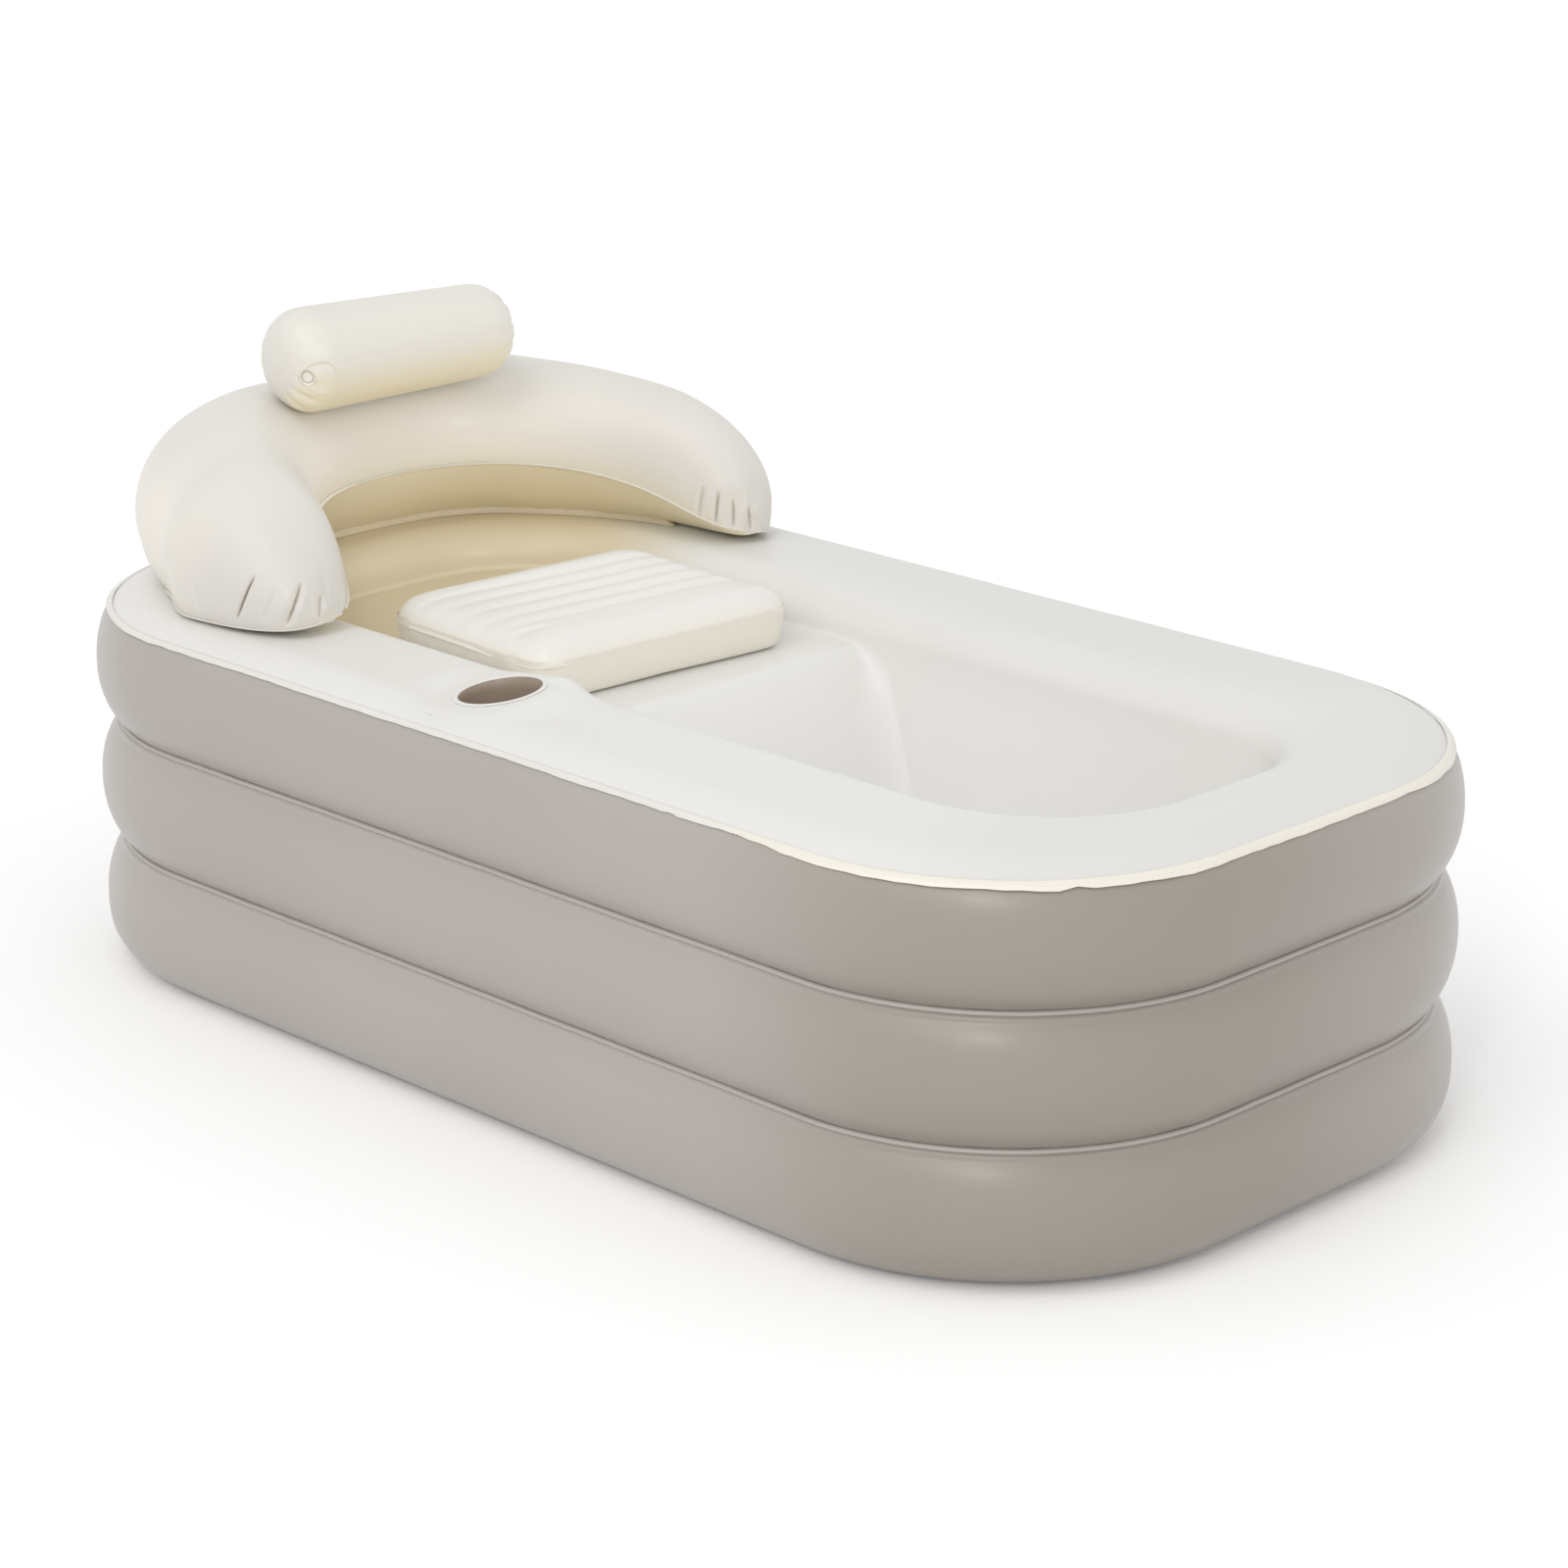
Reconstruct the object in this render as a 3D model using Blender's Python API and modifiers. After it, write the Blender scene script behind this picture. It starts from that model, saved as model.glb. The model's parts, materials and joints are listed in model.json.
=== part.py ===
"""Inflatable bathtub for one adult, with backrest, neck roll and seat cushion.

Three air rings are stacked and welded. A bowl-shaped liner covers their top and inner walls
and runs over an inflated seat and an inflated floor. A horseshoe backrest is welded to the
deck at the head end, and a neck roll and a seat cushion lie loose. The air valves and the
drain sit in recesses on the head end and the far side.

Metres, +Z up. The origin is on the ground under the middle of the tub, the head end is at -X
and the near long side at -Y.
"""

import math

import bmesh
import bpy
from mathutils import Vector

# Overall tub. Places along it are shares of its half length, from the middle towards the foot.
# The ends are straight between their corners, and the straight closes where the inset is wide.
HALF_LENGTH = 0.800
HALF_WIDTH = 0.428
END_STRAIGHT_SHARE = 0.304
END_STRAIGHT_CLOSES = 0.342
OUTER_CORNER = HALF_WIDTH * (1 - END_STRAIGHT_SHARE)
CORNER_STEPS = 8

# Deck height, and the heights that follow it: those above it are rises, those below it drops
DECK_Z = 0.437

# Outer wall: heights of the two creases and the top seam, with their insets and the ground line's
GROUND_INSET = 0.043
LOWER_CREASE_SHARE = 0.3387
UPPER_CREASE_SHARE = 0.6613
LOWER_CREASE_Z = DECK_Z * LOWER_CREASE_SHARE
UPPER_CREASE_Z = DECK_Z * UPPER_CREASE_SHARE
CREASE_INSET = 0.026
SEAM_DROP = 0.016
SEAM_Z = DECK_Z - SEAM_DROP
SEAM_INSET = 0.018
BULGE_STEPS = 4
BULGE_POWER = 2.2
GROUND_POWER = 2.8

# Deck, inner edge, inner wall and floor of the basin
DOME_INSET = 0.066
DOME_STEPS = 3
EDGE_INSET = 0.182
EDGE_RADIUS = 0.030
EDGE_STEPS = 4
FOOT_EASE = 0.060
WALL_FOOT_INSET = 0.240
FLOOR_Z = 0.055
TOE_RADIUS = 0.060
TOE_ROOM_SHARE = 0.80
TOE_STEPS = 4
LOWER_RING_INNER_INSET = 0.262

# Seat step inside the basin
SEAT_DROP = 0.052
SEAT_Z = DECK_Z - SEAT_DROP
SEAT_FRONT_SHARE = -0.05625
SEAT_FOOT_SHARE = 0.1875
SEAT_FRONT_X = HALF_LENGTH * SEAT_FRONT_SHARE
SEAT_FOOT_X = HALF_LENGTH * SEAT_FOOT_SHARE
SEAT_SLOPE_STEPS = 8
SEAT_FRONT_CORNER = 0.060
SIDE_STOP_SHARE = 0.45

# Films and clearances
LINER_WALL = 0.0010
BASE_WALL = 0.0012
GAP = 0.0003
CUT_OVERRUN = 0.010
MERGE = 0.00001
SMOOTH_ANGLE_DEG = 40.0

# Weld bead round the top seam
BEAD_RADIUS = 0.0015

# Cup holder in the near deck
CUP_PLACE_SHARE = -0.065
CUP_INSET = 0.120
CUP_MOUTH_RADIUS = 0.0445
CUP_FLOOR_RADIUS = 0.0400
CUP_DEPTH = 0.095
CUP_WALL = 0.0015
CUP_FLANGE_WIDTH = 0.0075
CUP_FLANGE_HEIGHT = 0.0022
CUP_SEGMENTS = 28

# Horseshoe backrest: outer contact line, inner seam and crest, read along one arm. An arm runs
# past the tub's corner by a length on the side. The near arm ends a little shorter than the far
# one. The inner seam has a place from the head end, at the back and at each tip.
BACKREST_NEAR_SIDE_LENGTH = 0.157
BACKREST_FAR_SIDE_LENGTH = 0.227
BACKREST_SEAM_BACK_INSET = 0.203
BACKREST_NEAR_SEAM_TIP_INSET = 0.445
BACKREST_FAR_SEAM_TIP_INSET = 0.492
BACKREST_NEAR_SEAM_SIDE_INSET = 0.196
BACKREST_FAR_SEAM_SIDE_INSET = 0.180
BACKREST_SEAM_BACK_RISE = 0.083
BACKREST_SEAM_TIP_RISE = 0.021
BACKREST_STATIONS = 14
BACKREST_TIP_STATIONS = 6
BACKREST_TIP_START_SHARE = 0.74
BACKREST_TIP_END_SHARE = 0.998
BACKREST_TIP_WIDTH_POWER = 2.6
BACKREST_TIP_HEIGHT_POWER = 2.0
BACKREST_TIP_MIDDLE_SHARE = 0.58
BACKREST_TIP_RISE = 0.015
BACKREST_CONTACT_SHARES = (0.0, 0.3, 0.5, 0.65, 0.8, 1.0)
BACKREST_CONTACT_INSETS = (0.050, 0.062, 0.090, 0.085, 0.062, 0.062)
BACKREST_BULGE_SHARES = (0.0, 0.3, 0.5, 0.65, 1.0)
BACKREST_BULGES = (0.036, 0.044, 0.036, 0.014, 0.010)
BACKREST_BULGE_RISE = 0.063
BACKREST_CREST_SHARES = (0.0, 0.1, 0.2, 0.45, 0.65, 0.85, 1.0)
BACKREST_CREST_RISES = (0.195, 0.196, 0.199, 0.187, 0.176, 0.157, 0.140)
BACKREST_CREST_PLACE_SHARE = 0.52
BACKREST_WELD_PLACE_SHARE = 0.50
BACKREST_SHOULDER_POWER = 0.80
BACKREST_LOWER_STEPS = 3
BACKREST_ARC_STEPS = 7
BACKREST_UNDER_STEPS = 3

# Weld strip that holds the backrest to the deck
STRIP_WIDTH = 0.012
STRIP_THICKNESS = 0.0012
STRIP_OFFSET = 0.0032
STRIP_REACH_SHARE = 0.80

# Neck roll that lies on the backrest, a little turned and thicker at its near end
PILLOW_INSET = 0.216
PILLOW_X = PILLOW_INSET - HALF_LENGTH
PILLOW_RADIUS = 0.0580
PILLOW_TAPER_SHARE = 0.06
PILLOW_HALF_LENGTH = 0.160
PILLOW_TURN_DEG = -4.5
PILLOW_END_ROUND = 0.044
PILLOW_END_DROP_SHARE = 0.74
PILLOW_END_STEPS = 5
PILLOW_BODY_STEPS = 3
PILLOW_SEGMENTS = 24
PILLOW_VALVE_SWING_DEG = 48.0
PILLOW_VALVE_DIP_DEG = 12.0

# Seat cushion that lies on the seat, a little turned
CUSHION_SETBACK = 0.188
CUSHION_X = SEAT_FRONT_X - CUSHION_SETBACK
CUSHION_Y = -0.012
CUSHION_TURN_DEG = -4.0
CUSHION_HALF_LENGTH = 0.146
CUSHION_HALF_WIDTH = HALF_WIDTH - WALL_FOOT_INSET
CUSHION_SEAM_RISE = 0.040
CUSHION_CROWN = 0.029
CUSHION_CHANNELS = 5
CUSHION_CHANNEL_DEPTH = 0.0045
CUSHION_CHANNEL_STEPS = 4
CUSHION_FRONT_LOBE_SHARE = 0.28
CUSHION_SIDE_DRAW = 0.005
CUSHION_CORNER_DRAW = 0.014
CUSHION_CORNER_POWER = 6
CUSHION_CROSS_STEPS = 10
CUSHION_EDGE_STEPS = 3
CUSHION_EDGE_SHARE = 0.16
CUSHION_TOP_POWER = 9
CUSHION_BASE_POWER = 11
CUSHION_REST_GAIN = 1.15

# Air valves of the three rings, in recesses on the head end
RING_VALVE_SIDE_SHARE = 0.35
RING_VALVE_RECESS_RADIUS = 0.0230
RING_VALVE_RECESS_DEPTH = 0.0200
RING_VALVE_NECK_RADIUS = 0.0127
RING_VALVE_NECK_LENGTH = 0.0140
RING_VALVE_FLANGE_THICKNESS = 0.0040
RING_VALVE_COLLAR_HEIGHT = 0.0050
RING_VALVE_BORE = 0.0080
RING_VALVE_PLUG_HEAD = 0.0030
RING_VALVE_PLUG_LENGTH = 0.0170
RING_VALVE_CAP_RADIUS = 0.0172
RING_VALVE_CAP_TOP = 0.0024
RING_VALVE_SEGMENTS = 16

# Small stopper valves of the backrest, roll, cushion, seat and floor
STOPPER_RECESS_RADIUS = 0.0100
STOPPER_RECESS_DEPTH = 0.0090
STOPPER_FLANGE_THICKNESS = 0.0020
STOPPER_COLLAR_RADIUS = 0.0055
STOPPER_COLLAR_HEIGHT = 0.0020
STOPPER_BORE = 0.0032
STOPPER_HEAD_RADIUS = 0.0066
STOPPER_HEAD_THICKNESS = 0.0020
STOPPER_SHANK = 0.0032
STOPPER_SEGMENTS = 12
CUSHION_VALVE_SIDE_SHARE = 0.32
SEAT_VALVE_PLACE_SHARE = -0.60
SEAT_VALVE_SIDE_SHARE = 0.14
FLOOR_VALVE_PLACE_SHARE = 0.4125

# Drain through the lower ring on the far side
DRAIN_PLACE_SHARE = 0.375
DRAIN_RISE = 0.0305
DRAIN_PIPE_RADIUS = 0.0160
DRAIN_PIPE_WALL = 0.0030
DRAIN_RECESS_RADIUS = 0.0290
DRAIN_RECESS_DEPTH = 0.0230
DRAIN_MOUTH_INSET = 0.268
DRAIN_SEAL_THICKNESS = 0.0015
DRAIN_FLANGE_RADIUS = 0.0265
DRAIN_FLANGE_THICKNESS = 0.0035
DRAIN_COLLAR_HEIGHT = 0.0090
DRAIN_CAP_WALL = 0.0030
DRAIN_CAP_TOP = 0.0030
DRAIN_PLUG_HEAD = 0.0040
DRAIN_PLUG_LENGTH = 0.0130
DRAIN_SEGMENTS = 24


def corner_radius(inset):
    """Corner radius of the tub outline drawn in by an inset."""
    straight = (HALF_WIDTH - OUTER_CORNER) * (1 - inset / END_STRAIGHT_CLOSES)
    return HALF_WIDTH - inset - straight


def foot_inset(inset):
    """Inset at the foot end, where the deck is a little narrower than along the sides."""
    eased = min(max((inset - DOME_INSET) / (EDGE_INSET - DOME_INSET), 0), 1)
    return inset - FOOT_EASE * eased


def rounded_outline(head_x, foot_x, half_y, head_radius, foot_radius, side_stops=(), foot_half_y=None):
    """Points of a rounded rectangle, from the head round the near side to the foot and back.

    The list is symmetric: a point and its mirror image in Y are as far from either end. The
    stops are extra points on the sides, as places in X with the half width there.
    """
    foot_half_y = foot_half_y or half_y
    points = []

    def corner(centre_x, centre_y, radius, start):
        for step in range(CORNER_STEPS + 1):
            angle = start + math.pi / 2 * step / CORNER_STEPS
            points.append((centre_x + radius * math.cos(angle), centre_y + radius * math.sin(angle)))

    corner(head_x + head_radius, head_radius - half_y, head_radius, math.pi)
    points.extend((x, -side_y) for x, side_y in side_stops)
    corner(foot_x - foot_radius, foot_radius - foot_half_y, foot_radius, 1.5 * math.pi)
    corner(foot_x - foot_radius, foot_half_y - foot_radius, foot_radius, 0)
    points.extend((x, side_y) for x, side_y in reversed(side_stops))
    corner(head_x + head_radius, half_y - head_radius, head_radius, math.pi / 2)
    return points


def tub_outline(inset):
    """Outline of the tub seen from above, drawn in by an inset."""
    radius = corner_radius(inset)
    return rounded_outline(inset - HALF_LENGTH, HALF_LENGTH - foot_inset(inset),
                           HALF_WIDTH - inset, radius, radius)


def basin_profile(base=FLOOR_Z):
    """Inset and height of the liner's upper face, from the top seam to a floor at a height."""
    wall_top = DECK_Z - EDGE_RADIUS
    radius = min(TOE_RADIUS, TOE_ROOM_SHARE * (wall_top - base))
    fallen_share = (wall_top - base - radius) / (wall_top - FLOOR_Z - TOE_RADIUS)
    toe_inset = EDGE_INSET + EDGE_RADIUS + (WALL_FOOT_INSET - EDGE_INSET - EDGE_RADIUS) * fallen_share
    points = []
    for step in range(DOME_STEPS + 1):
        share = step / DOME_STEPS
        rise = math.sin(math.pi / 2 * share)
        points.append((SEAM_INSET + (DOME_INSET - SEAM_INSET) * share, SEAM_Z + (DECK_Z - SEAM_Z) * rise))
    for step in range(EDGE_STEPS + 1):
        angle = math.pi / 2 * step / EDGE_STEPS
        points.append((EDGE_INSET + EDGE_RADIUS * math.sin(angle),
                       DECK_Z - EDGE_RADIUS * (1 - math.cos(angle))))
    for step in range(TOE_STEPS + 1):
        angle = math.pi / 2 * step / TOE_STEPS
        points.append((toe_inset + radius * (1 - math.cos(angle)), base + radius * (1 - math.sin(angle))))
    return points


def offset_profile(points, distance):
    """The profile moved down and outwards, into the rings, by a distance."""
    moved = []
    for index, (inset, height) in enumerate(points):
        before = points[max(index - 1, 0)]
        after = points[min(index + 1, len(points) - 1)]
        run = Vector((after[0] - before[0], after[1] - before[1])).normalized()
        moved.append((inset + run.y * distance, height - run.x * distance))
    return moved


def inset_at(profile, height):
    """Inset of the inner wall at a height, read from the straight and toe part of a profile."""
    wall = profile[DOME_STEPS + EDGE_STEPS + 1:]
    for (inset_high, high), (inset_low, low) in zip(wall, wall[1:]):
        if low <= height <= high:
            return inset_low + (inset_high - inset_low) * (height - low) / (high - low)
    return wall[-1][0] if height < wall[-1][1] else wall[0][0]


def height_at(profile, inset):
    """Height of the toe of the inner wall at an inset."""
    toe = profile[-TOE_STEPS - 1:]
    for (near, high), (far, low) in zip(toe, toe[1:]):
        if near <= inset <= far:
            return high + (low - high) * (inset - near) / (far - near)
    return toe[-1][1]


def floor_height(x):
    """Height of the liner along the middle of the basin: the seat, its front slope, the floor."""
    share = min(max((x - SEAT_FRONT_X) / (SEAT_FOOT_X - SEAT_FRONT_X), 0), 1)
    fall = share * share * (3 - 2 * share)
    return SEAT_Z + (FLOOR_Z - SEAT_Z) * fall


def slope_stops():
    """Places along X where the seat's front slope has an edge."""
    run = SEAT_FOOT_X - SEAT_FRONT_X
    return [SEAT_FRONT_X + run * step / SEAT_SLOPE_STEPS for step in range(SEAT_SLOPE_STEPS + 1)]


def bulge(low, high, inset_low, inset_high, power_low=BULGE_POWER):
    """Inset and height up the outer face of one air ring, which swells between two welds."""
    middle = (low + high) / 2
    points = []
    for step in range(-BULGE_STEPS, BULGE_STEPS + 1):
        share = step / BULGE_STEPS
        inset = inset_low * abs(share) ** power_low if step < 0 else inset_high * share ** BULGE_POWER
        points.append((inset, middle + (high - low) / 2 * share))
    return points


def material(name, colour, roughness):
    """A Principled material in one colour."""
    made = bpy.data.materials.new(name)
    made.use_nodes = True
    shader = made.node_tree.nodes["Principled BSDF"]
    shader.inputs["Base Color"].default_value = (*colour, 1.0)
    shader.inputs["Roughness"].default_value = roughness
    return made


def add_object(name, mesh, look, collection):
    """Put a mesh in the scene as one named part, shaded smooth between soft edges."""
    thing = bpy.data.objects.new(name, mesh)
    collection.objects.link(thing)
    if look is not None:
        mesh.materials.append(look)
    mesh.shade_smooth()
    mesh.set_sharp_from_angle(angle=math.radians(SMOOTH_ANGLE_DEG))
    return thing


def loft(name, loops, look, collection, wrapped=False):
    """Skin through loops of equal length. A wrapped loft closes on its first loop, others are capped."""
    work = bmesh.new()
    rows = [[work.verts.new(point) for point in loop] for loop in loops]
    for low, high in zip(rows, rows[1:] + rows[:1] if wrapped else rows[1:]):
        for index in range(len(low)):
            after = (index + 1) % len(low)
            work.faces.new((low[index], low[after], high[after], high[index]))
    if not wrapped:
        work.faces.new(list(reversed(rows[0])))
        work.faces.new(rows[-1])
    bmesh.ops.recalc_face_normals(work, faces=work.faces)
    mesh = bpy.data.meshes.new(name)
    work.to_mesh(mesh)
    work.free()
    return add_object(name, mesh, look, collection)


def level(outline, height):
    """The points of a flat outline at one height."""
    return [Vector((x, y, height)) for x, y in outline]


def turned(name, profile, segments, look, collection, closed=False):
    """A turned piece about Z: radius and height pairs that run down the outer side."""
    mesh = bpy.data.meshes.new(name)
    points = [(radius, 0, height) for radius, height in profile]
    edges = [(index, index + 1) for index in range(len(points) - 1)]
    if closed:
        edges.append((len(points) - 1, 0))
    mesh.from_pydata(points, edges, [])
    thing = add_object(name, mesh, look, collection)
    screw = thing.modifiers.new("Turn", "SCREW")
    screw.steps = segments
    screw.render_steps = segments
    screw.use_merge_vertices = True
    screw.merge_threshold = MERGE
    return thing


def aim(thing, place, direction):
    """Put a turned piece at a place with its own Z along a direction."""
    thing.location = place
    thing.rotation_euler = Vector(direction).to_track_quat("Z", "Y").to_euler()


def as_cutter(thing):
    """Mark an object as a cutter, which the finished part leaves out."""
    thing.hide_render = True
    thing.display_type = "WIRE"
    return thing


def cut(thing, cutter):
    """Subtract a cutter from a part."""
    boolean = thing.modifiers.new(f"Cut {cutter.name}", "BOOLEAN")
    boolean.operation = "DIFFERENCE"
    boolean.object = cutter


class Collections:
    """The two collections of the model."""

    def __init__(self):
        scene = bpy.context.scene.collection
        self.parts = bpy.data.collections.new("Inflatable bathtub")
        self.cutters = bpy.data.collections.new("Cutters")
        scene.children.link(self.parts)
        scene.children.link(self.cutters)


class Looks:
    """One material for each kind of surface."""

    def __init__(self):
        self.taupe_film = material("Taupe PVC film", (0.42, 0.38, 0.35), 0.42)
        self.white_film = material("White PVC film", (0.82, 0.80, 0.76), 0.40)
        self.cream_film = material("Cream PVC film", (0.84, 0.80, 0.71), 0.45)
        self.cup_film = material("Brown cup lining", (0.25, 0.20, 0.17), 0.50)
        self.valve_plastic = material("Clear-white valve PVC", (0.80, 0.80, 0.78), 0.35)
        self.cap_plastic = material("White cap plastic", (0.88, 0.88, 0.86), 0.35)
        self.seal_rubber = material("Grey seal rubber", (0.20, 0.20, 0.20), 0.60)


def air_ring(name, section, look, parts):
    """One air ring: a cross-section of insets and heights carried round the tub outline."""
    loops = [level(tub_outline(inset), height) for inset, height in section]
    return loft(name, loops, look, parts, wrapped=True)


def make_rings(parts, look):
    """The three stacked air rings that form the wall."""
    inner = offset_profile(basin_profile(), LINER_WALL + GAP)
    base = BASE_WALL + GAP
    half = GAP / 2
    lower_top = LOWER_CREASE_Z - half
    middle_low = LOWER_CREASE_Z + half
    middle_top = UPPER_CREASE_Z - half
    upper_low = UPPER_CREASE_Z + half

    toe = [point for point in inner[-TOE_STEPS - 1:] if point[0] < LOWER_RING_INNER_INSET - GAP]
    lower = bulge(base, lower_top, GROUND_INSET, CREASE_INSET, GROUND_POWER)
    lower.append((inset_at(inner, lower_top), lower_top))
    lower.extend(toe)
    lower.append((LOWER_RING_INNER_INSET, height_at(inner, LOWER_RING_INNER_INSET)))
    lower.append((LOWER_RING_INNER_INSET, base))

    middle = bulge(middle_low, middle_top, CREASE_INSET, CREASE_INSET)
    middle.append((inset_at(inner, middle_top), middle_top))
    middle.append((inset_at(inner, middle_low), middle_low))

    upper = bulge(upper_low, inner[0][1], CREASE_INSET, inner[0][0])
    upper.extend(inner[1:DOME_STEPS + EDGE_STEPS + 2])
    upper.append((inset_at(inner, upper_low), upper_low))

    return (air_ring("lower_ring", lower, look, parts),
            air_ring("middle_ring", middle, look, parts),
            air_ring("upper_ring", upper, look, parts))


def liner_rows():
    """The liner's upper face as closed rows of points, from the top seam to the floor."""
    side = HALF_LENGTH - OUTER_CORNER
    foot_stop = SEAT_FOOT_X + (side - SEAT_FOOT_X) * SIDE_STOP_SHARE
    stops = [-side * SIDE_STOP_SHARE, *slope_stops(), foot_stop]
    seat = basin_profile(SEAT_Z)
    floor = basin_profile(FLOOR_Z)
    along = [basin_profile(floor_height(x)) for x in stops]
    rows = []
    for index in range(len(floor)):
        head_inset, head_z = seat[index]
        foot, foot_z = floor[index]
        side_stops = [(x, HALF_WIDTH - profile[index][0]) for x, profile in zip(stops, along)]
        outline = rounded_outline(head_inset - HALF_LENGTH, HALF_LENGTH - foot_inset(foot),
                                  HALF_WIDTH - head_inset, corner_radius(head_inset),
                                  corner_radius(foot), side_stops, HALF_WIDTH - foot)
        corner = CORNER_STEPS + 1
        sides = [profile[index][1] for profile in along]
        heights = [head_z] * corner + sides + [foot_z] * 2 * corner + sides[::-1] + [head_z] * corner
        rows.append([(x, y, z) for (x, y), z in zip(outline, heights)])
    return rows


def make_liner(parts, look):
    """The one film that covers the deck, the inner wall, the seat and the floor."""
    work = bmesh.new()
    rows = [[work.verts.new(point) for point in row] for row in liner_rows()]
    for outer, inner in zip(rows, rows[1:]):
        for index in range(len(outer)):
            after = (index + 1) % len(outer)
            work.faces.new((outer[index], outer[after], inner[after], inner[index]))
    last = rows[-1]
    half = len(last) // 2
    for index in range(half - 1):
        work.faces.new((last[index], last[index + 1], last[-index - 2], last[-index - 1]))
    bmesh.ops.recalc_face_normals(work, faces=work.faces)
    if sum(face.normal.z for face in work.faces) < 0:
        bmesh.ops.reverse_faces(work, faces=work.faces)
    mesh = bpy.data.meshes.new("inner_liner")
    work.to_mesh(mesh)
    work.free()
    liner = add_object("inner_liner", mesh, look, parts)
    wall = liner.modifiers.new("Film", "SOLIDIFY")
    wall.thickness = LINER_WALL
    wall.offset = -1
    return liner


def make_weld_bead(parts, look):
    """The bead of weld that shows round the top seam, outside the liner's edge."""
    path = tub_outline(SEAM_INSET - BEAD_RADIUS - GAP)
    curve = bpy.data.curves.new("rim_weld_bead", "CURVE")
    curve.dimensions = "3D"
    spline = curve.splines.new("POLY")
    spline.points.add(len(path) - 1)
    for point, (x, y) in zip(spline.points, path):
        point.co = (x, y, SEAM_Z, 1)
    spline.use_cyclic_u = True
    curve.bevel_depth = BEAD_RADIUS
    curve.bevel_resolution = 1
    curve.materials.append(look)
    parts.objects.link(bpy.data.objects.new("rim_weld_bead", curve))


def make_base(parts, look):
    """The sheet under the tub."""
    outline = tub_outline(GROUND_INSET)
    return loft("bottom_sheet", [level(outline, 0), level(outline, BASE_WALL)], look, parts)


def make_seat_chamber(parts, look):
    """The inflated block under the seat, whose front follows the liner's slope."""
    wall = offset_profile(basin_profile(), LINER_WALL + GAP)
    reach = LINER_WALL + GAP
    loops = []

    def add(height, front_x):
        inset = min(inset_at(wall, height), LOWER_RING_INNER_INSET) + GAP
        head_radius = corner_radius(inset)
        outline = rounded_outline(inset - HALF_LENGTH, front_x, HALF_WIDTH - inset,
                                  head_radius, SEAT_FRONT_CORNER)
        loops.append(level(outline, height))

    front = offset_profile([(x, floor_height(x)) for x in slope_stops()], reach)
    front.append((front[-1][0], BASE_WALL + GAP))
    front.reverse()
    shoulder = height_at(wall, LOWER_RING_INNER_INSET)
    for (low_x, low), (high_x, high) in zip(front, front[1:]):
        add(low, low_x)
        if low < shoulder < high:
            add(shoulder, low_x + (high_x - low_x) * (shoulder - low) / (high - low))
    add(front[-1][1], front[-1][0])
    return loft("seat_chamber", loops, look, parts)


def make_floor_chamber(parts, look):
    """The flat air cushion under the basin floor, from the seat to the foot wall."""
    inset = LOWER_RING_INNER_INSET + GAP
    base = BASE_WALL + GAP
    top = FLOOR_Z - LINER_WALL - GAP
    outline = rounded_outline(SEAT_FOOT_X + GAP, HALF_LENGTH - foot_inset(inset), HALF_WIDTH - inset,
                              SEAT_FRONT_CORNER, corner_radius(inset))
    return loft("floor_chamber", [level(outline, base), level(outline, top)], look, parts)


def cup_centre():
    """The middle of the cup holder on the deck."""
    return Vector((HALF_LENGTH * CUP_PLACE_SHARE, CUP_INSET - HALF_WIDTH, DECK_Z))


def make_cup(parts, cutters, looks, liner, ring):
    """The cup holder: a lining let into the upper ring, and the flange welded round its mouth."""
    centre = cup_centre()
    outer = CUP_MOUTH_RADIUS + CUP_WALL
    floor_outer = CUP_FLOOR_RADIUS + CUP_WALL
    lining = turned("cup_sleeve", [
        (0, CUP_WALL - CUP_DEPTH), (CUP_FLOOR_RADIUS, CUP_WALL - CUP_DEPTH), (CUP_MOUTH_RADIUS, 0),
        (outer, 0), (floor_outer, -CUP_DEPTH), (0, -CUP_DEPTH)],
        CUP_SEGMENTS, looks.cup_film, parts)
    lining.location = centre

    bpy.ops.mesh.primitive_cone_add(
        vertices=CUP_SEGMENTS, radius1=floor_outer + GAP, radius2=outer + GAP,
        depth=CUP_DEPTH + GAP, location=centre - Vector((0, 0, (CUP_DEPTH + GAP) / 2)))
    well = as_cutter(bpy.context.object)
    well.name = "cup well cutter"
    move_to(well, cutters)
    bpy.ops.mesh.primitive_cylinder_add(
        vertices=CUP_SEGMENTS, radius=outer + GAP, depth=2 * CUT_OVERRUN, location=centre)
    mouth = as_cutter(bpy.context.object)
    mouth.name = "cup mouth cutter"
    move_to(mouth, cutters)
    cut(liner, mouth)
    cut(ring, well)

    inner = CUP_MOUTH_RADIUS
    flange_outer = outer + CUP_FLANGE_WIDTH
    flange = turned("cup_flange", [
        (inner, CUP_FLANGE_HEIGHT + GAP), (flange_outer - CUP_FLANGE_HEIGHT, CUP_FLANGE_HEIGHT + GAP),
        (flange_outer, GAP + CUP_FLANGE_HEIGHT / 2), (flange_outer, GAP), (inner, GAP)],
        CUP_SEGMENTS, looks.white_film, parts, closed=True)
    flange.location = centre


def move_to(thing, collection):
    """Take an object out of its collections and put it in one."""
    for held in list(thing.users_collection):
        held.objects.unlink(thing)
    collection.objects.link(thing)


def spread(share, shares, values):
    """Value at a share, read along straight lines between values at given shares."""
    for (low, high), (first, last) in zip(zip(shares, shares[1:]), zip(values, values[1:])):
        if share <= high:
            return first + (last - first) * (share - low) / (high - low)
    return values[-1]


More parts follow.
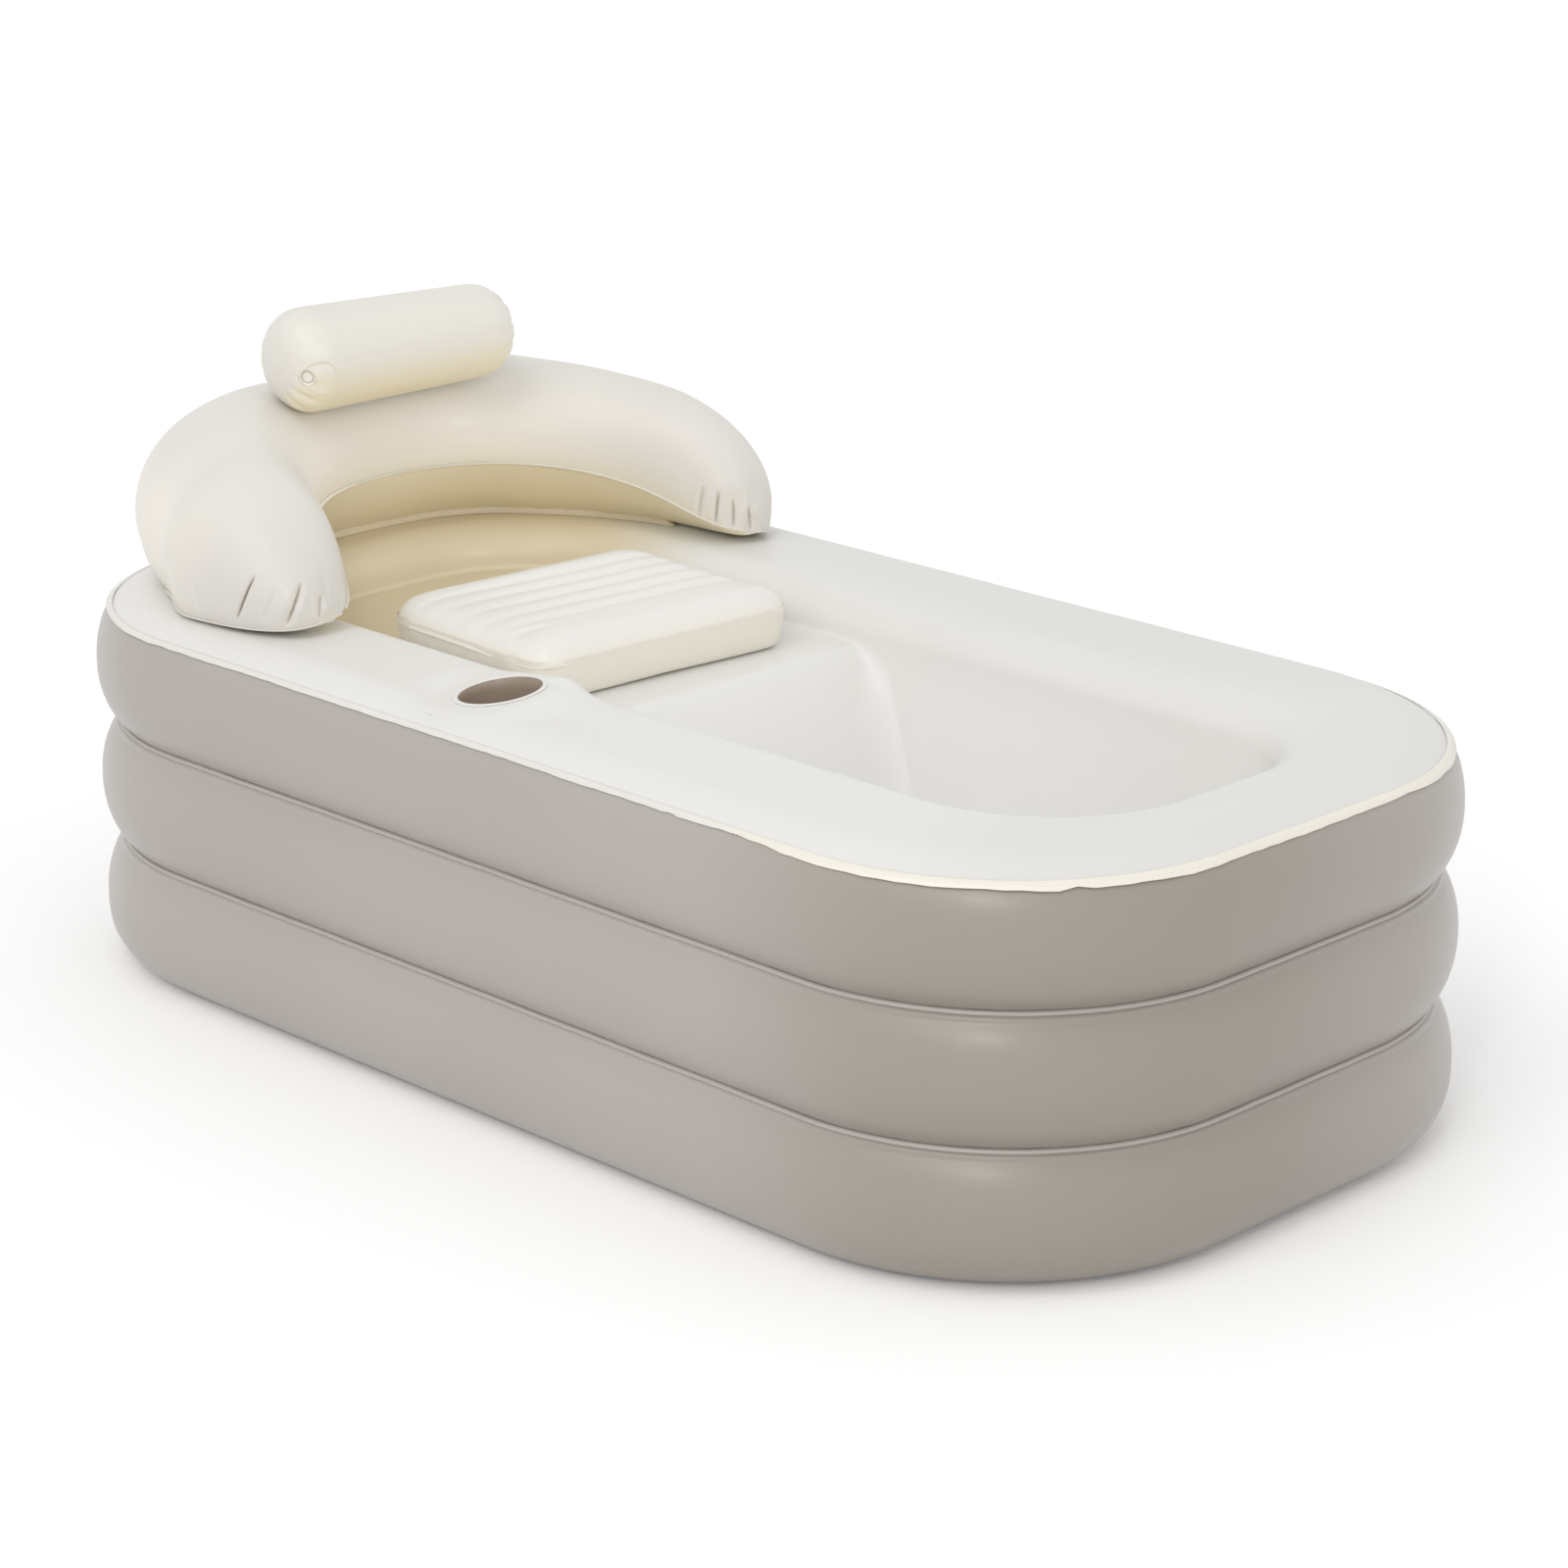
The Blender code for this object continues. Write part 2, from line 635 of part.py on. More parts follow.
def path_place(distance):
    """Place on the tub's outer outline, its inward direction, and the side of the tub.

    The distance is measured round the outline from the middle of the head end.
    """
    side = -1 if distance < 0 else 1
    along = abs(distance)
    straight = HALF_WIDTH - OUTER_CORNER
    arc = OUTER_CORNER * math.pi / 2
    if along < straight:
        return Vector((-HALF_LENGTH, side * along)), Vector((1, 0)), side
    if along < straight + arc:
        turn = (along - straight) / OUTER_CORNER
        centre = Vector((OUTER_CORNER - HALF_LENGTH, side * straight))
        outward = Vector((-math.cos(turn), side * math.sin(turn)))
        return centre + outward * OUTER_CORNER, -outward, side
    return (Vector((OUTER_CORNER - HALF_LENGTH + along - straight - arc, side * HALF_WIDTH)),
            Vector((0, -side)), side)


def backrest_station(share):
    """Outer contact point, inner seam point and the seam's rise over the deck at one station.

    The share runs from 0 at the middle of the head end to 1 at the far tip and -1 at the near.
    """
    along = abs(share)
    side_length = BACKREST_NEAR_SIDE_LENGTH if share < 0 else BACKREST_FAR_SIDE_LENGTH
    tip_inset = BACKREST_NEAR_SEAM_TIP_INSET if share < 0 else BACKREST_FAR_SEAM_TIP_INSET
    side_inset = BACKREST_NEAR_SEAM_SIDE_INSET if share < 0 else BACKREST_FAR_SEAM_SIDE_INSET
    arm = HALF_WIDTH - OUTER_CORNER + OUTER_CORNER * math.pi / 2 + side_length
    place, inward, side = path_place(share * arm)
    contact = place + inward * spread(along, BACKREST_CONTACT_SHARES, BACKREST_CONTACT_INSETS)
    turn = along * math.pi / 2
    from_head = tip_inset - (tip_inset - BACKREST_SEAM_BACK_INSET) * math.cos(turn)
    seam = Vector((from_head - HALF_LENGTH, side * (HALF_WIDTH - side_inset) * math.sin(turn)))
    fall = (1 - math.cos(turn)) ** 2
    seam_rise = BACKREST_SEAM_BACK_RISE + (BACKREST_SEAM_TIP_RISE - BACKREST_SEAM_BACK_RISE) * fall
    return contact, seam, seam_rise


def tip_size(share, power):
    """Size of a section that closes a tip off roundly: 1 where the tip starts, 0 at its end."""
    past = max(share - BACKREST_TIP_START_SHARE, 0) / (1 - BACKREST_TIP_START_SHARE)
    return (1 - past ** power) ** (1 / power)


def backrest_section(share):
    """One closed cross-section of the backrest, as points in space."""
    contact, seam, seam_rise = backrest_station(share)
    along = abs(share)
    span = (seam - contact).length
    inward = (seam - contact).normalized()
    bulge_out = spread(along, BACKREST_BULGE_SHARES, BACKREST_BULGES)
    crest_rise = spread(along, BACKREST_CREST_SHARES, BACKREST_CREST_RISES)
    crest = BACKREST_CREST_PLACE_SHARE * span
    weld = BACKREST_WELD_PLACE_SHARE * span
    section = []
    for step in range(BACKREST_LOWER_STEPS):
        angle = math.pi / 2 * step / BACKREST_LOWER_STEPS
        section.append((-bulge_out * math.sin(angle),
                        GAP + (BACKREST_BULGE_RISE - GAP) * (1 - math.cos(angle))))
    for step in range(BACKREST_ARC_STEPS + 1):
        angle = math.pi / 2 * step / BACKREST_ARC_STEPS
        section.append(((crest + bulge_out) * (1 - math.cos(angle)) - bulge_out,
                        BACKREST_BULGE_RISE + (crest_rise - BACKREST_BULGE_RISE) * math.sin(angle)))
    for step in range(1, BACKREST_ARC_STEPS + 1):
        angle = math.pi / 2 * step / BACKREST_ARC_STEPS
        fall = math.cos(angle) ** BACKREST_SHOULDER_POWER if step < BACKREST_ARC_STEPS else 0
        section.append((crest + (span - crest) * math.sin(angle),
                        seam_rise + (crest_rise - seam_rise) * fall))
    for step in range(1, BACKREST_UNDER_STEPS + 1):
        part = step / BACKREST_UNDER_STEPS
        section.append((span + (weld - span) * part, seam_rise + (GAP - seam_rise) * part))
    width = tip_size(along, BACKREST_TIP_WIDTH_POWER)
    size = tip_size(along, BACKREST_TIP_HEIGHT_POWER)
    middle = span * BACKREST_TIP_MIDDLE_SHARE
    points = []
    for reach, rise in section:
        plan = contact + inward * (middle + (reach - middle) * width)
        drawn = max(BACKREST_TIP_RISE + (rise - BACKREST_TIP_RISE) * size, GAP)
        points.append(Vector((plan.x, plan.y, DECK_Z + drawn)))
    return points


def backrest_shares():
    """Stations along the backrest, from the near tip to the far tip, closer at the tips."""
    body = [BACKREST_TIP_START_SHARE * step / BACKREST_STATIONS
            for step in range(-BACKREST_STATIONS, BACKREST_STATIONS + 1)]
    room = BACKREST_TIP_END_SHARE - BACKREST_TIP_START_SHARE
    tip = [BACKREST_TIP_START_SHARE + room * math.sin(math.pi / 2 * step / BACKREST_TIP_STATIONS)
           for step in range(1, BACKREST_TIP_STATIONS + 1)]
    return [-share for share in reversed(tip)] + body + tip


def make_backrest(parts, look):
    """The horseshoe backrest: a fat tube with a welded inner seam, rounded off at both tips."""
    loops = [backrest_section(share) for share in backrest_shares()]
    return loft("backrest", loops, look, parts)


def make_weld_strip(parts, look):
    """The strip of film that welds the backrest to the deck, under its overhang."""
    low = DECK_Z + GAP
    high = low + STRIP_THICKNESS
    loops = []
    for step in range(-BACKREST_STATIONS, BACKREST_STATIONS + 1):
        share = STRIP_REACH_SHARE * step / BACKREST_STATIONS
        contact, seam, _ = backrest_station(share)
        inward = (seam - contact).normalized()
        start = BACKREST_WELD_PLACE_SHARE * (seam - contact).length + STRIP_OFFSET
        near = contact + inward * start
        far = contact + inward * (start + STRIP_WIDTH)
        loops.append([Vector((near.x, near.y, low)), Vector((near.x, near.y, high)),
                      Vector((far.x, far.y, high)), Vector((far.x, far.y, low))])
    return loft("backrest_weld_strip", loops, look, parts)


def pillow_directions():
    """The roll's axis, towards its far end, and its level side direction, towards the foot."""
    turn = math.radians(PILLOW_TURN_DEG)
    return Vector((-math.sin(turn), math.cos(turn), 0)), Vector((math.cos(turn), math.sin(turn), 0))


def pillow_radius(reach):
    """Radius of the roll at a distance from its middle, with its taper and rounded ends."""
    past = max(abs(reach) + PILLOW_END_ROUND - PILLOW_HALF_LENGTH, 0) / PILLOW_END_ROUND
    rounding = 1 - PILLOW_END_DROP_SHARE * (1 - math.sqrt(max(1 - past * past, 0)))
    return PILLOW_RADIUS * (1 - PILLOW_TAPER_SHARE * reach / PILLOW_HALF_LENGTH) * rounding


def pillow_height():
    """Height of the roll's axis when it rests on the backrest with a small gap."""
    axis, side = pillow_directions()
    needed = DECK_Z
    for step in range(-BACKREST_STATIONS, BACKREST_STATIONS + 1):
        section = backrest_section(STRIP_REACH_SHARE * step / BACKREST_STATIONS)
        for first, last in zip(section, section[1:]):
            for point in (first, (first + last) / 2):
                offset = Vector((point.x - PILLOW_X, point.y, 0))
                reach = offset.dot(axis)
                across = offset.dot(side)
                clear = pillow_radius(reach) + GAP
                if abs(reach) < PILLOW_HALF_LENGTH and abs(across) < clear:
                    needed = max(needed, point.z + math.sqrt(clear ** 2 - across ** 2))
    return needed


def make_pillow(parts, look, axis_z):
    """The neck roll: a cylinder of film with swollen, rounded ends."""
    shoulder = PILLOW_HALF_LENGTH - PILLOW_END_ROUND
    half = [shoulder * step / PILLOW_BODY_STEPS for step in range(PILLOW_BODY_STEPS)]
    half += [shoulder + PILLOW_END_ROUND * math.sin(math.pi / 2 * step / PILLOW_END_STEPS)
             for step in range(PILLOW_END_STEPS + 1)]
    places = half[::-1] + [-reach for reach in half[1:]]
    outline = [(0, PILLOW_HALF_LENGTH), *((pillow_radius(reach), reach) for reach in places),
               (0, -PILLOW_HALF_LENGTH)]
    roll = turned("head_pillow", outline, PILLOW_SEGMENTS, look, parts)
    axis, _ = pillow_directions()
    aim(roll, (PILLOW_X, 0, axis_z), axis)
    return roll


def pillow_valve_seat(axis_z):
    """Where the roll's valve meets its skin, on the rounded near end, and where it faces."""
    axis, side = pillow_directions()
    dip = math.radians(PILLOW_VALVE_DIP_DEG)
    swing = math.radians(PILLOW_VALVE_SWING_DEG)
    radial = side * math.cos(dip) - Vector((0, 0, math.sin(dip)))
    shoulder = PILLOW_HALF_LENGTH - PILLOW_END_ROUND
    radius = pillow_radius(-shoulder)
    drop = radius * PILLOW_END_DROP_SHARE
    place = Vector((PILLOW_X, 0, axis_z))
    place += radial * (radius - drop + drop * math.cos(swing))
    place -= axis * (shoulder + PILLOW_END_ROUND * math.sin(swing))
    return place, radial * math.cos(swing) - axis * math.sin(swing)


def cushion_shares():
    """Places across half the cushion, closer together near its edge, from -1 to 1."""
    inner = 1 - CUSHION_EDGE_SHARE
    edge = [inner + CUSHION_EDGE_SHARE * math.sin(math.pi / 2 * step / CUSHION_EDGE_STEPS)
            for step in range(1, CUSHION_EDGE_STEPS + 1)]
    middle = [inner * (2 * step / CUSHION_CROSS_STEPS - 1) for step in range(CUSHION_CROSS_STEPS + 1)]
    return [-share for share in reversed(edge)] + middle + edge


def cushion_lengthwise():
    """Places along the cushion with the depth of the channel there, from back to front."""
    inner = 1 - CUSHION_EDGE_SHARE
    ribbed = 2 * inner * (1 - CUSHION_FRONT_LOBE_SHARE)
    count = CUSHION_CHANNELS * CUSHION_CHANNEL_STEPS
    places = []
    for step in range(count + 1):
        phase = (step % CUSHION_CHANNEL_STEPS) / CUSHION_CHANNEL_STEPS
        places.append((ribbed * step / count - inner, math.cos(math.pi * phase) ** 2 if step else 0))
    lobe_steps = CUSHION_CHANNEL_STEPS
    for step in range(1, lobe_steps + 1):
        places.append((ribbed - inner + (2 * inner - ribbed) * step / lobe_steps, 0))
    edge = [inner + CUSHION_EDGE_SHARE * math.sin(math.pi / 2 * step / CUSHION_EDGE_STEPS)
            for step in range(1, CUSHION_EDGE_STEPS + 1)]
    return [(-share, 0) for share in reversed(edge)] + places + [(share, 0) for share in edge]


def fullness(share, power):
    """How full a cushion is at a share of its half width: 1 in the middle, 0 at the seam."""
    return math.sqrt(max(1 - abs(share) ** power, 0))


def cushion_place(x, y, z):
    """A place given in the cushion's own directions, from the middle of its seam."""
    turn = math.radians(CUSHION_TURN_DEG)
    return Vector((CUSHION_X + x * math.cos(turn) - y * math.sin(turn),
                   CUSHION_Y + x * math.sin(turn) + y * math.cos(turn),
                   SEAT_Z + GAP + CUSHION_SEAM_RISE + z))


def cushion_plan(u, v):
    """Plan place of a cushion point: corners are rounded and the sides are drawn in."""
    corner = CUSHION_CORNER_DRAW * (abs(u) * abs(v)) ** CUSHION_CORNER_POWER
    half_length = CUSHION_HALF_LENGTH - CUSHION_SIDE_DRAW * (1 - v * v)
    half_width = CUSHION_HALF_WIDTH - CUSHION_SIDE_DRAW * (1 - u * u)
    return u * half_length - math.copysign(corner, u), v * half_width - math.copysign(corner, v)


def make_cushion(parts, look):
    """The seat cushion: crowned top with cross channels, drawn-in sides and a flat underside."""
    length_places = cushion_lengthwise()
    cross_places = cushion_shares()
    work = bmesh.new()
    top = []
    base = []
    for u, groove in length_places:
        top_row = []
        base_row = []
        for v in cross_places:
            x, y = cushion_plan(u, v)
            swell = fullness(u, CUSHION_TOP_POWER) * fullness(v, CUSHION_TOP_POWER)
            rest = fullness(u, CUSHION_BASE_POWER) * fullness(v, CUSHION_BASE_POWER)
            if abs(u) > 1 - MERGE or abs(v) > 1 - MERGE:
                shared = work.verts.new(cushion_place(x, y, 0))
                top_row.append(shared)
                base_row.append(shared)
            else:
                height = (CUSHION_CROWN - CUSHION_CHANNEL_DEPTH * groove) * swell
                depth = CUSHION_SEAM_RISE * min(rest * CUSHION_REST_GAIN, 1)
                top_row.append(work.verts.new(cushion_place(x, y, height)))
                base_row.append(work.verts.new(cushion_place(x, y, -depth)))
        top.append(top_row)
        base.append(base_row)
    for row in range(len(length_places) - 1):
        for column in range(len(cross_places) - 1):
            for sheet in (top, base):
                work.faces.new((sheet[row][column], sheet[row + 1][column],
                                sheet[row + 1][column + 1], sheet[row][column + 1]))
    bmesh.ops.recalc_face_normals(work, faces=work.faces)
    mesh = bpy.data.meshes.new("seat_cushion")
    work.to_mesh(mesh)
    work.free()
    return add_object("seat_cushion", mesh, look, parts)


def make_ring_valve(prefix, height, ring, parts, cutters, looks):
    """One ring's air valve in its recess: a welded base, a plug in its bore and a cap over both."""
    outward = (-1, 0, 0)
    seat = Vector((RING_VALVE_RECESS_DEPTH - HALF_LENGTH, HALF_WIDTH * RING_VALVE_SIDE_SHARE, height))
    flange = RING_VALVE_FLANGE_THICKNESS + GAP
    collar = flange + RING_VALVE_COLLAR_HEIGHT
    mouth = RING_VALVE_RECESS_DEPTH + CUT_OVERRUN
    neck_hole = RING_VALVE_NECK_RADIUS + GAP
    neck_end = -RING_VALVE_NECK_LENGTH - GAP
    recess = turned(f"{prefix} valve cutter", [
        (0, mouth), (RING_VALVE_RECESS_RADIUS, mouth), (RING_VALVE_RECESS_RADIUS, 0),
        (neck_hole, 0), (neck_hole, neck_end), (0, neck_end)],
        RING_VALVE_SEGMENTS, None, cutters)
    aim(as_cutter(recess), seat, outward)
    cut(ring, recess)

    base = turned(f"{prefix}_valve_base", [
        (RING_VALVE_BORE, collar), (RING_VALVE_NECK_RADIUS, collar), (RING_VALVE_NECK_RADIUS, flange),
        (RING_VALVE_RECESS_RADIUS - GAP, flange), (RING_VALVE_RECESS_RADIUS - GAP, GAP),
        (RING_VALVE_NECK_RADIUS, GAP), (RING_VALVE_NECK_RADIUS, -RING_VALVE_NECK_LENGTH),
        (RING_VALVE_BORE, -RING_VALVE_NECK_LENGTH)],
        RING_VALVE_SEGMENTS, looks.valve_plastic, parts, closed=True)
    aim(base, seat, outward)

    head_low = collar + GAP
    head_top = head_low + RING_VALVE_PLUG_HEAD
    plug = turned(f"{prefix}_valve_plug", [
        (0, head_top), (RING_VALVE_NECK_RADIUS, head_top), (RING_VALVE_NECK_RADIUS, head_low),
        (RING_VALVE_BORE - GAP, head_low), (RING_VALVE_BORE - GAP, head_low - RING_VALVE_PLUG_LENGTH),
        (0, head_low - RING_VALVE_PLUG_LENGTH)],
        RING_VALVE_SEGMENTS, looks.valve_plastic, parts)
    aim(plug, seat, outward)

    cap_low = flange + GAP
    cap_inner = RING_VALVE_NECK_RADIUS + GAP
    cap_top = head_top + GAP + RING_VALVE_CAP_TOP
    cap = turned(f"{prefix}_valve_cap", [
        (0, cap_top), (RING_VALVE_CAP_RADIUS - RING_VALVE_CAP_TOP / 2, cap_top),
        (RING_VALVE_CAP_RADIUS, cap_top - RING_VALVE_CAP_TOP / 2), (RING_VALVE_CAP_RADIUS, cap_low),
        (cap_inner, cap_low), (cap_inner, head_top + GAP), (0, head_top + GAP)],
        RING_VALVE_SEGMENTS, looks.cap_plastic, parts)
    aim(cap, seat, outward)


def make_stopper_valve(prefix, mouth, outward, cut_from, parts, cutters, looks):
    """A small flush valve: a base with a bore, let into a recess, and a stopper in the bore.

    The mouth is the point where the valve's axis meets the skin, and outward points out of it.
    """
    recess = turned(f"{prefix} stopper cutter", [
        (0, CUT_OVERRUN), (STOPPER_RECESS_RADIUS, CUT_OVERRUN),
        (STOPPER_RECESS_RADIUS, -STOPPER_RECESS_DEPTH), (0, -STOPPER_RECESS_DEPTH)],
        STOPPER_SEGMENTS, None, cutters)
    aim(as_cutter(recess), mouth, outward)
    for thing in cut_from:
        cut(thing, recess)

    floor = GAP - STOPPER_RECESS_DEPTH
    flange = floor + STOPPER_FLANGE_THICKNESS
    collar = flange + STOPPER_COLLAR_HEIGHT
    base = turned(f"{prefix}_valve_base", [
        (STOPPER_BORE, collar), (STOPPER_COLLAR_RADIUS, collar), (STOPPER_COLLAR_RADIUS, flange),
        (STOPPER_RECESS_RADIUS - GAP, flange), (STOPPER_RECESS_RADIUS - GAP, floor),
        (STOPPER_BORE, floor)],
        STOPPER_SEGMENTS, looks.valve_plastic, parts, closed=True)
    aim(base, mouth, outward)

    head_low = collar + GAP
    head_top = head_low + STOPPER_HEAD_THICKNESS
    shank = STOPPER_BORE - GAP
    stopper = turned(f"{prefix}_valve_stopper", [
        (0, head_top), (STOPPER_HEAD_RADIUS - STOPPER_HEAD_THICKNESS / 2, head_top),
        (STOPPER_HEAD_RADIUS, head_low), (shank, head_low), (shank, head_low - STOPPER_SHANK),
        (0, head_low - STOPPER_SHANK)],
        STOPPER_SEGMENTS, looks.cap_plastic, parts)
    aim(stopper, mouth, outward)


def make_drain(ring, liner, parts, cutters, looks):
    """The drain: a pipe through the lower ring, a plug inside the basin and a cap outside."""
    outward = (0, 1, 0)
    seat = Vector((HALF_LENGTH * DRAIN_PLACE_SHARE, HALF_WIDTH - DRAIN_RECESS_DEPTH, FLOOR_Z + DRAIN_RISE))
    mouth = HALF_WIDTH - DRAIN_MOUTH_INSET - seat.y
    bore_radius = DRAIN_PIPE_RADIUS + GAP
    bore = DRAIN_PIPE_RADIUS - DRAIN_PIPE_WALL

    recess = turned("drain cutter", [
        (0, DRAIN_RECESS_DEPTH + CUT_OVERRUN), (DRAIN_RECESS_RADIUS, DRAIN_RECESS_DEPTH + CUT_OVERRUN),
        (DRAIN_RECESS_RADIUS, 0), (bore_radius, 0), (bore_radius, mouth - CUT_OVERRUN),
        (0, mouth - CUT_OVERRUN)],
        DRAIN_SEGMENTS, None, cutters)
    aim(as_cutter(recess), seat, outward)
    cut(ring, recess)
    cut(liner, recess)

    seal_top = GAP + DRAIN_SEAL_THICKNESS
    seal = turned("drain_seal", [
        (bore_radius, seal_top), (DRAIN_FLANGE_RADIUS, seal_top), (DRAIN_FLANGE_RADIUS, GAP),
        (bore_radius, GAP)],
        DRAIN_SEGMENTS, looks.seal_rubber, parts, closed=True)
    aim(seal, seat, outward)

    flange_low = seal_top + GAP
    flange_top = flange_low + DRAIN_FLANGE_THICKNESS
    collar_top = flange_top + DRAIN_COLLAR_HEIGHT
    collar = DRAIN_PIPE_RADIUS
    pipe = turned("drain_pipe", [
        (bore, collar_top), (collar, collar_top), (collar, flange_top), (DRAIN_FLANGE_RADIUS, flange_top),
        (DRAIN_FLANGE_RADIUS, flange_low), (collar, flange_low), (collar, mouth), (bore, mouth)],
        DRAIN_SEGMENTS, looks.valve_plastic, parts, closed=True)
    aim(pipe, seat, outward)

    cap_low = flange_top + GAP
    cap_inner = collar + GAP
    cap_outer = cap_inner + DRAIN_CAP_WALL
    cap_top = collar_top + GAP + DRAIN_CAP_TOP
    cap = turned("drain_cap", [
        (0, cap_top), (cap_outer - DRAIN_CAP_TOP / 2, cap_top), (cap_outer, cap_top - DRAIN_CAP_TOP / 2),
        (cap_outer, cap_low), (cap_inner, cap_low), (cap_inner, collar_top + GAP), (0, collar_top + GAP)],
        DRAIN_SEGMENTS, looks.cap_plastic, parts)
    aim(cap, seat, outward)

    head_low = mouth - GAP
    head_top = head_low - DRAIN_PLUG_HEAD
    shank = bore - GAP
    plug = turned("drain_plug", [
        (0, head_low + DRAIN_PLUG_LENGTH), (shank, head_low + DRAIN_PLUG_LENGTH), (shank, head_low),
        (collar, head_low), (collar, head_top + DRAIN_PLUG_HEAD / 2),
        (collar - DRAIN_PLUG_HEAD / 2, head_top), (0, head_top)],
        DRAIN_SEGMENTS, looks.cap_plastic, parts)
    aim(plug, seat, outward)


def clear_scene():
    """Remove whatever the scene holds."""
    for thing in list(bpy.data.objects):
        bpy.data.objects.remove(thing, do_unlink=True)


def main():
    """Build the tub."""
    clear_scene()
    groups = Collections()
    looks = Looks()
    parts = groups.parts
    cutters = groups.cutters

    lower, middle, upper = make_rings(parts, looks.taupe_film)
    liner = make_liner(parts, looks.white_film)
    make_weld_bead(parts, looks.cream_film)
    make_base(parts, looks.taupe_film)
    seat = make_seat_chamber(parts, looks.white_film)
    floor = make_floor_chamber(parts, looks.white_film)
    make_cup(parts, cutters, looks, liner, upper)

    backrest = make_backrest(parts, looks.cream_film)
    make_weld_strip(parts, looks.cream_film)
    axis_z = pillow_height()
    pillow = make_pillow(parts, looks.cream_film, axis_z)
    cushion = make_cushion(parts, looks.cream_film)

    make_ring_valve("lower", (BASE_WALL + LOWER_CREASE_Z) / 2, lower, parts, cutters, looks)
    make_ring_valve("middle", (LOWER_CREASE_Z + UPPER_CREASE_Z) / 2, middle, parts, cutters, looks)
    make_ring_valve("upper", (UPPER_CREASE_Z + SEAM_Z) / 2, upper, parts, cutters, looks)

    contact, _, _ = backrest_station(0)
    make_stopper_valve("backrest", (contact.x - BACKREST_BULGES[0], contact.y, DECK_Z + BACKREST_BULGE_RISE),
                       (-1, 0, 0), [backrest], parts, cutters, looks)
    mouth, facing = pillow_valve_seat(axis_z)
    make_stopper_valve("pillow", mouth, facing, [pillow], parts, cutters, looks)
    back = CUSHION_SIDE_DRAW - CUSHION_HALF_LENGTH
    beside = CUSHION_HALF_WIDTH * CUSHION_VALVE_SIDE_SHARE
    mouth = cushion_place(back, beside, 0)
    facing = mouth - cushion_place(back + CUSHION_HALF_LENGTH, beside, 0)
    make_stopper_valve("cushion", mouth, facing, [cushion], parts, cutters, looks)
    mouth = (HALF_LENGTH * SEAT_VALVE_PLACE_SHARE, HALF_WIDTH * SEAT_VALVE_SIDE_SHARE, SEAT_Z)
    make_stopper_valve("seat", mouth, (0, 0, 1), [liner, seat], parts, cutters, looks)
    mouth = (HALF_LENGTH * FLOOR_VALVE_PLACE_SHARE, 0, FLOOR_Z)
    make_stopper_valve("floor", mouth, (0, 0, 1), [liner, floor], parts, cutters, looks)
    make_drain(lower, liner, parts, cutters, looks)


main()
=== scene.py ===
"""Looks of the inflatable bathtub: air rings, bowl liner, backrest, neck roll, cushion and fittings.

The CAD nodes are plain solids. Each soft one is replaced here by a finer form of the same size
with its creases, welds, pleats and channels, and the fittings by turned pieces with soft edges.

Metres, +Z up. The head end is at -X and the near long side at -Y.
"""

import json
import logging
import math
from collections.abc import Callable, Sequence
from dataclasses import dataclass, replace
from enum import Enum
from functools import cache

import bmesh
import bpy
import numpy as np
from bpy.types import ID, Material, Mesh, Node, NodeSocket, NodeTree, Object
from mathutils import Matrix, Vector, noise
from mathutils.bvhtree import BVHTree


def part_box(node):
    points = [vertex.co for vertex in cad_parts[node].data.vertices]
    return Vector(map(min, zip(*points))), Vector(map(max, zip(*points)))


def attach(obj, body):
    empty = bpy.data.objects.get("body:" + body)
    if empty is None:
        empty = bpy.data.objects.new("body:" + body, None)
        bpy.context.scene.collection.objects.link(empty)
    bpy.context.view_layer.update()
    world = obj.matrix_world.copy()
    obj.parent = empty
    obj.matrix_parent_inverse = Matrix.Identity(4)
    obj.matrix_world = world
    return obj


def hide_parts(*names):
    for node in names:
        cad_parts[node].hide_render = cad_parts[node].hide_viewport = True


LOG = logging.getLogger("bathtub")
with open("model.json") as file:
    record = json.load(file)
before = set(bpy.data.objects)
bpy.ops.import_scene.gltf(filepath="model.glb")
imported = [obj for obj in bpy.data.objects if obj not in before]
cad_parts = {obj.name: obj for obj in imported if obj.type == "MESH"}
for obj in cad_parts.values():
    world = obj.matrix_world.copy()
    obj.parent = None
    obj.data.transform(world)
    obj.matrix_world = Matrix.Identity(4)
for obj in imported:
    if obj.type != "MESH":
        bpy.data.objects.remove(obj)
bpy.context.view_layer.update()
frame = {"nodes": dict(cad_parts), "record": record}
BODY_OF_NODE = {node: body for body, nodes in frame["record"]["behaviour"]["bodies"].items() for node in nodes}
MM = 0.001
QUARTER = math.pi / 2
UP = Vector((0, 0, 1))


class Side(Enum):
    """The two arms of the backrest."""

    NEAR = -1
    FAR = 1


class Part(Enum):
    """The stretches of the liner's profile, from the top seam to the toe of the wall."""

    DOME = 0
    DECK = 1
    EDGE = 2
    WALL = 3
    TOE = 4


# Shares and curves


def share_of(value: float, start: float, end: float) -> float:
    """How far a value lies from a start to an end, held from 0 to 1."""
    return min(max((value - start) / (end - start), 0), 1)


def eased(share: float | np.ndarray) -> float | np.ndarray:
    """A share that starts and ends softly."""
    return share * share * (3 - 2 * share)


def bump_at(distance: float, width: float) -> float:
    """A smooth hump: 1 at no distance, almost 0 past twice the width."""
    return math.exp(-(distance / width) ** 2)


def waves(place: float, wave: float, seed: int) -> float:
    """Uneven waves of about a length along a line, from some -1 to 1, the same on each run."""
    return 1.6 * noise.noise(Vector((place / wave, 13.7 * seed, 4.1)))


def full_turn(count: int) -> list[float]:
    """Angles of a full turn in even steps, without its end."""
    return [2 * math.pi * step / count for step in range(count)]


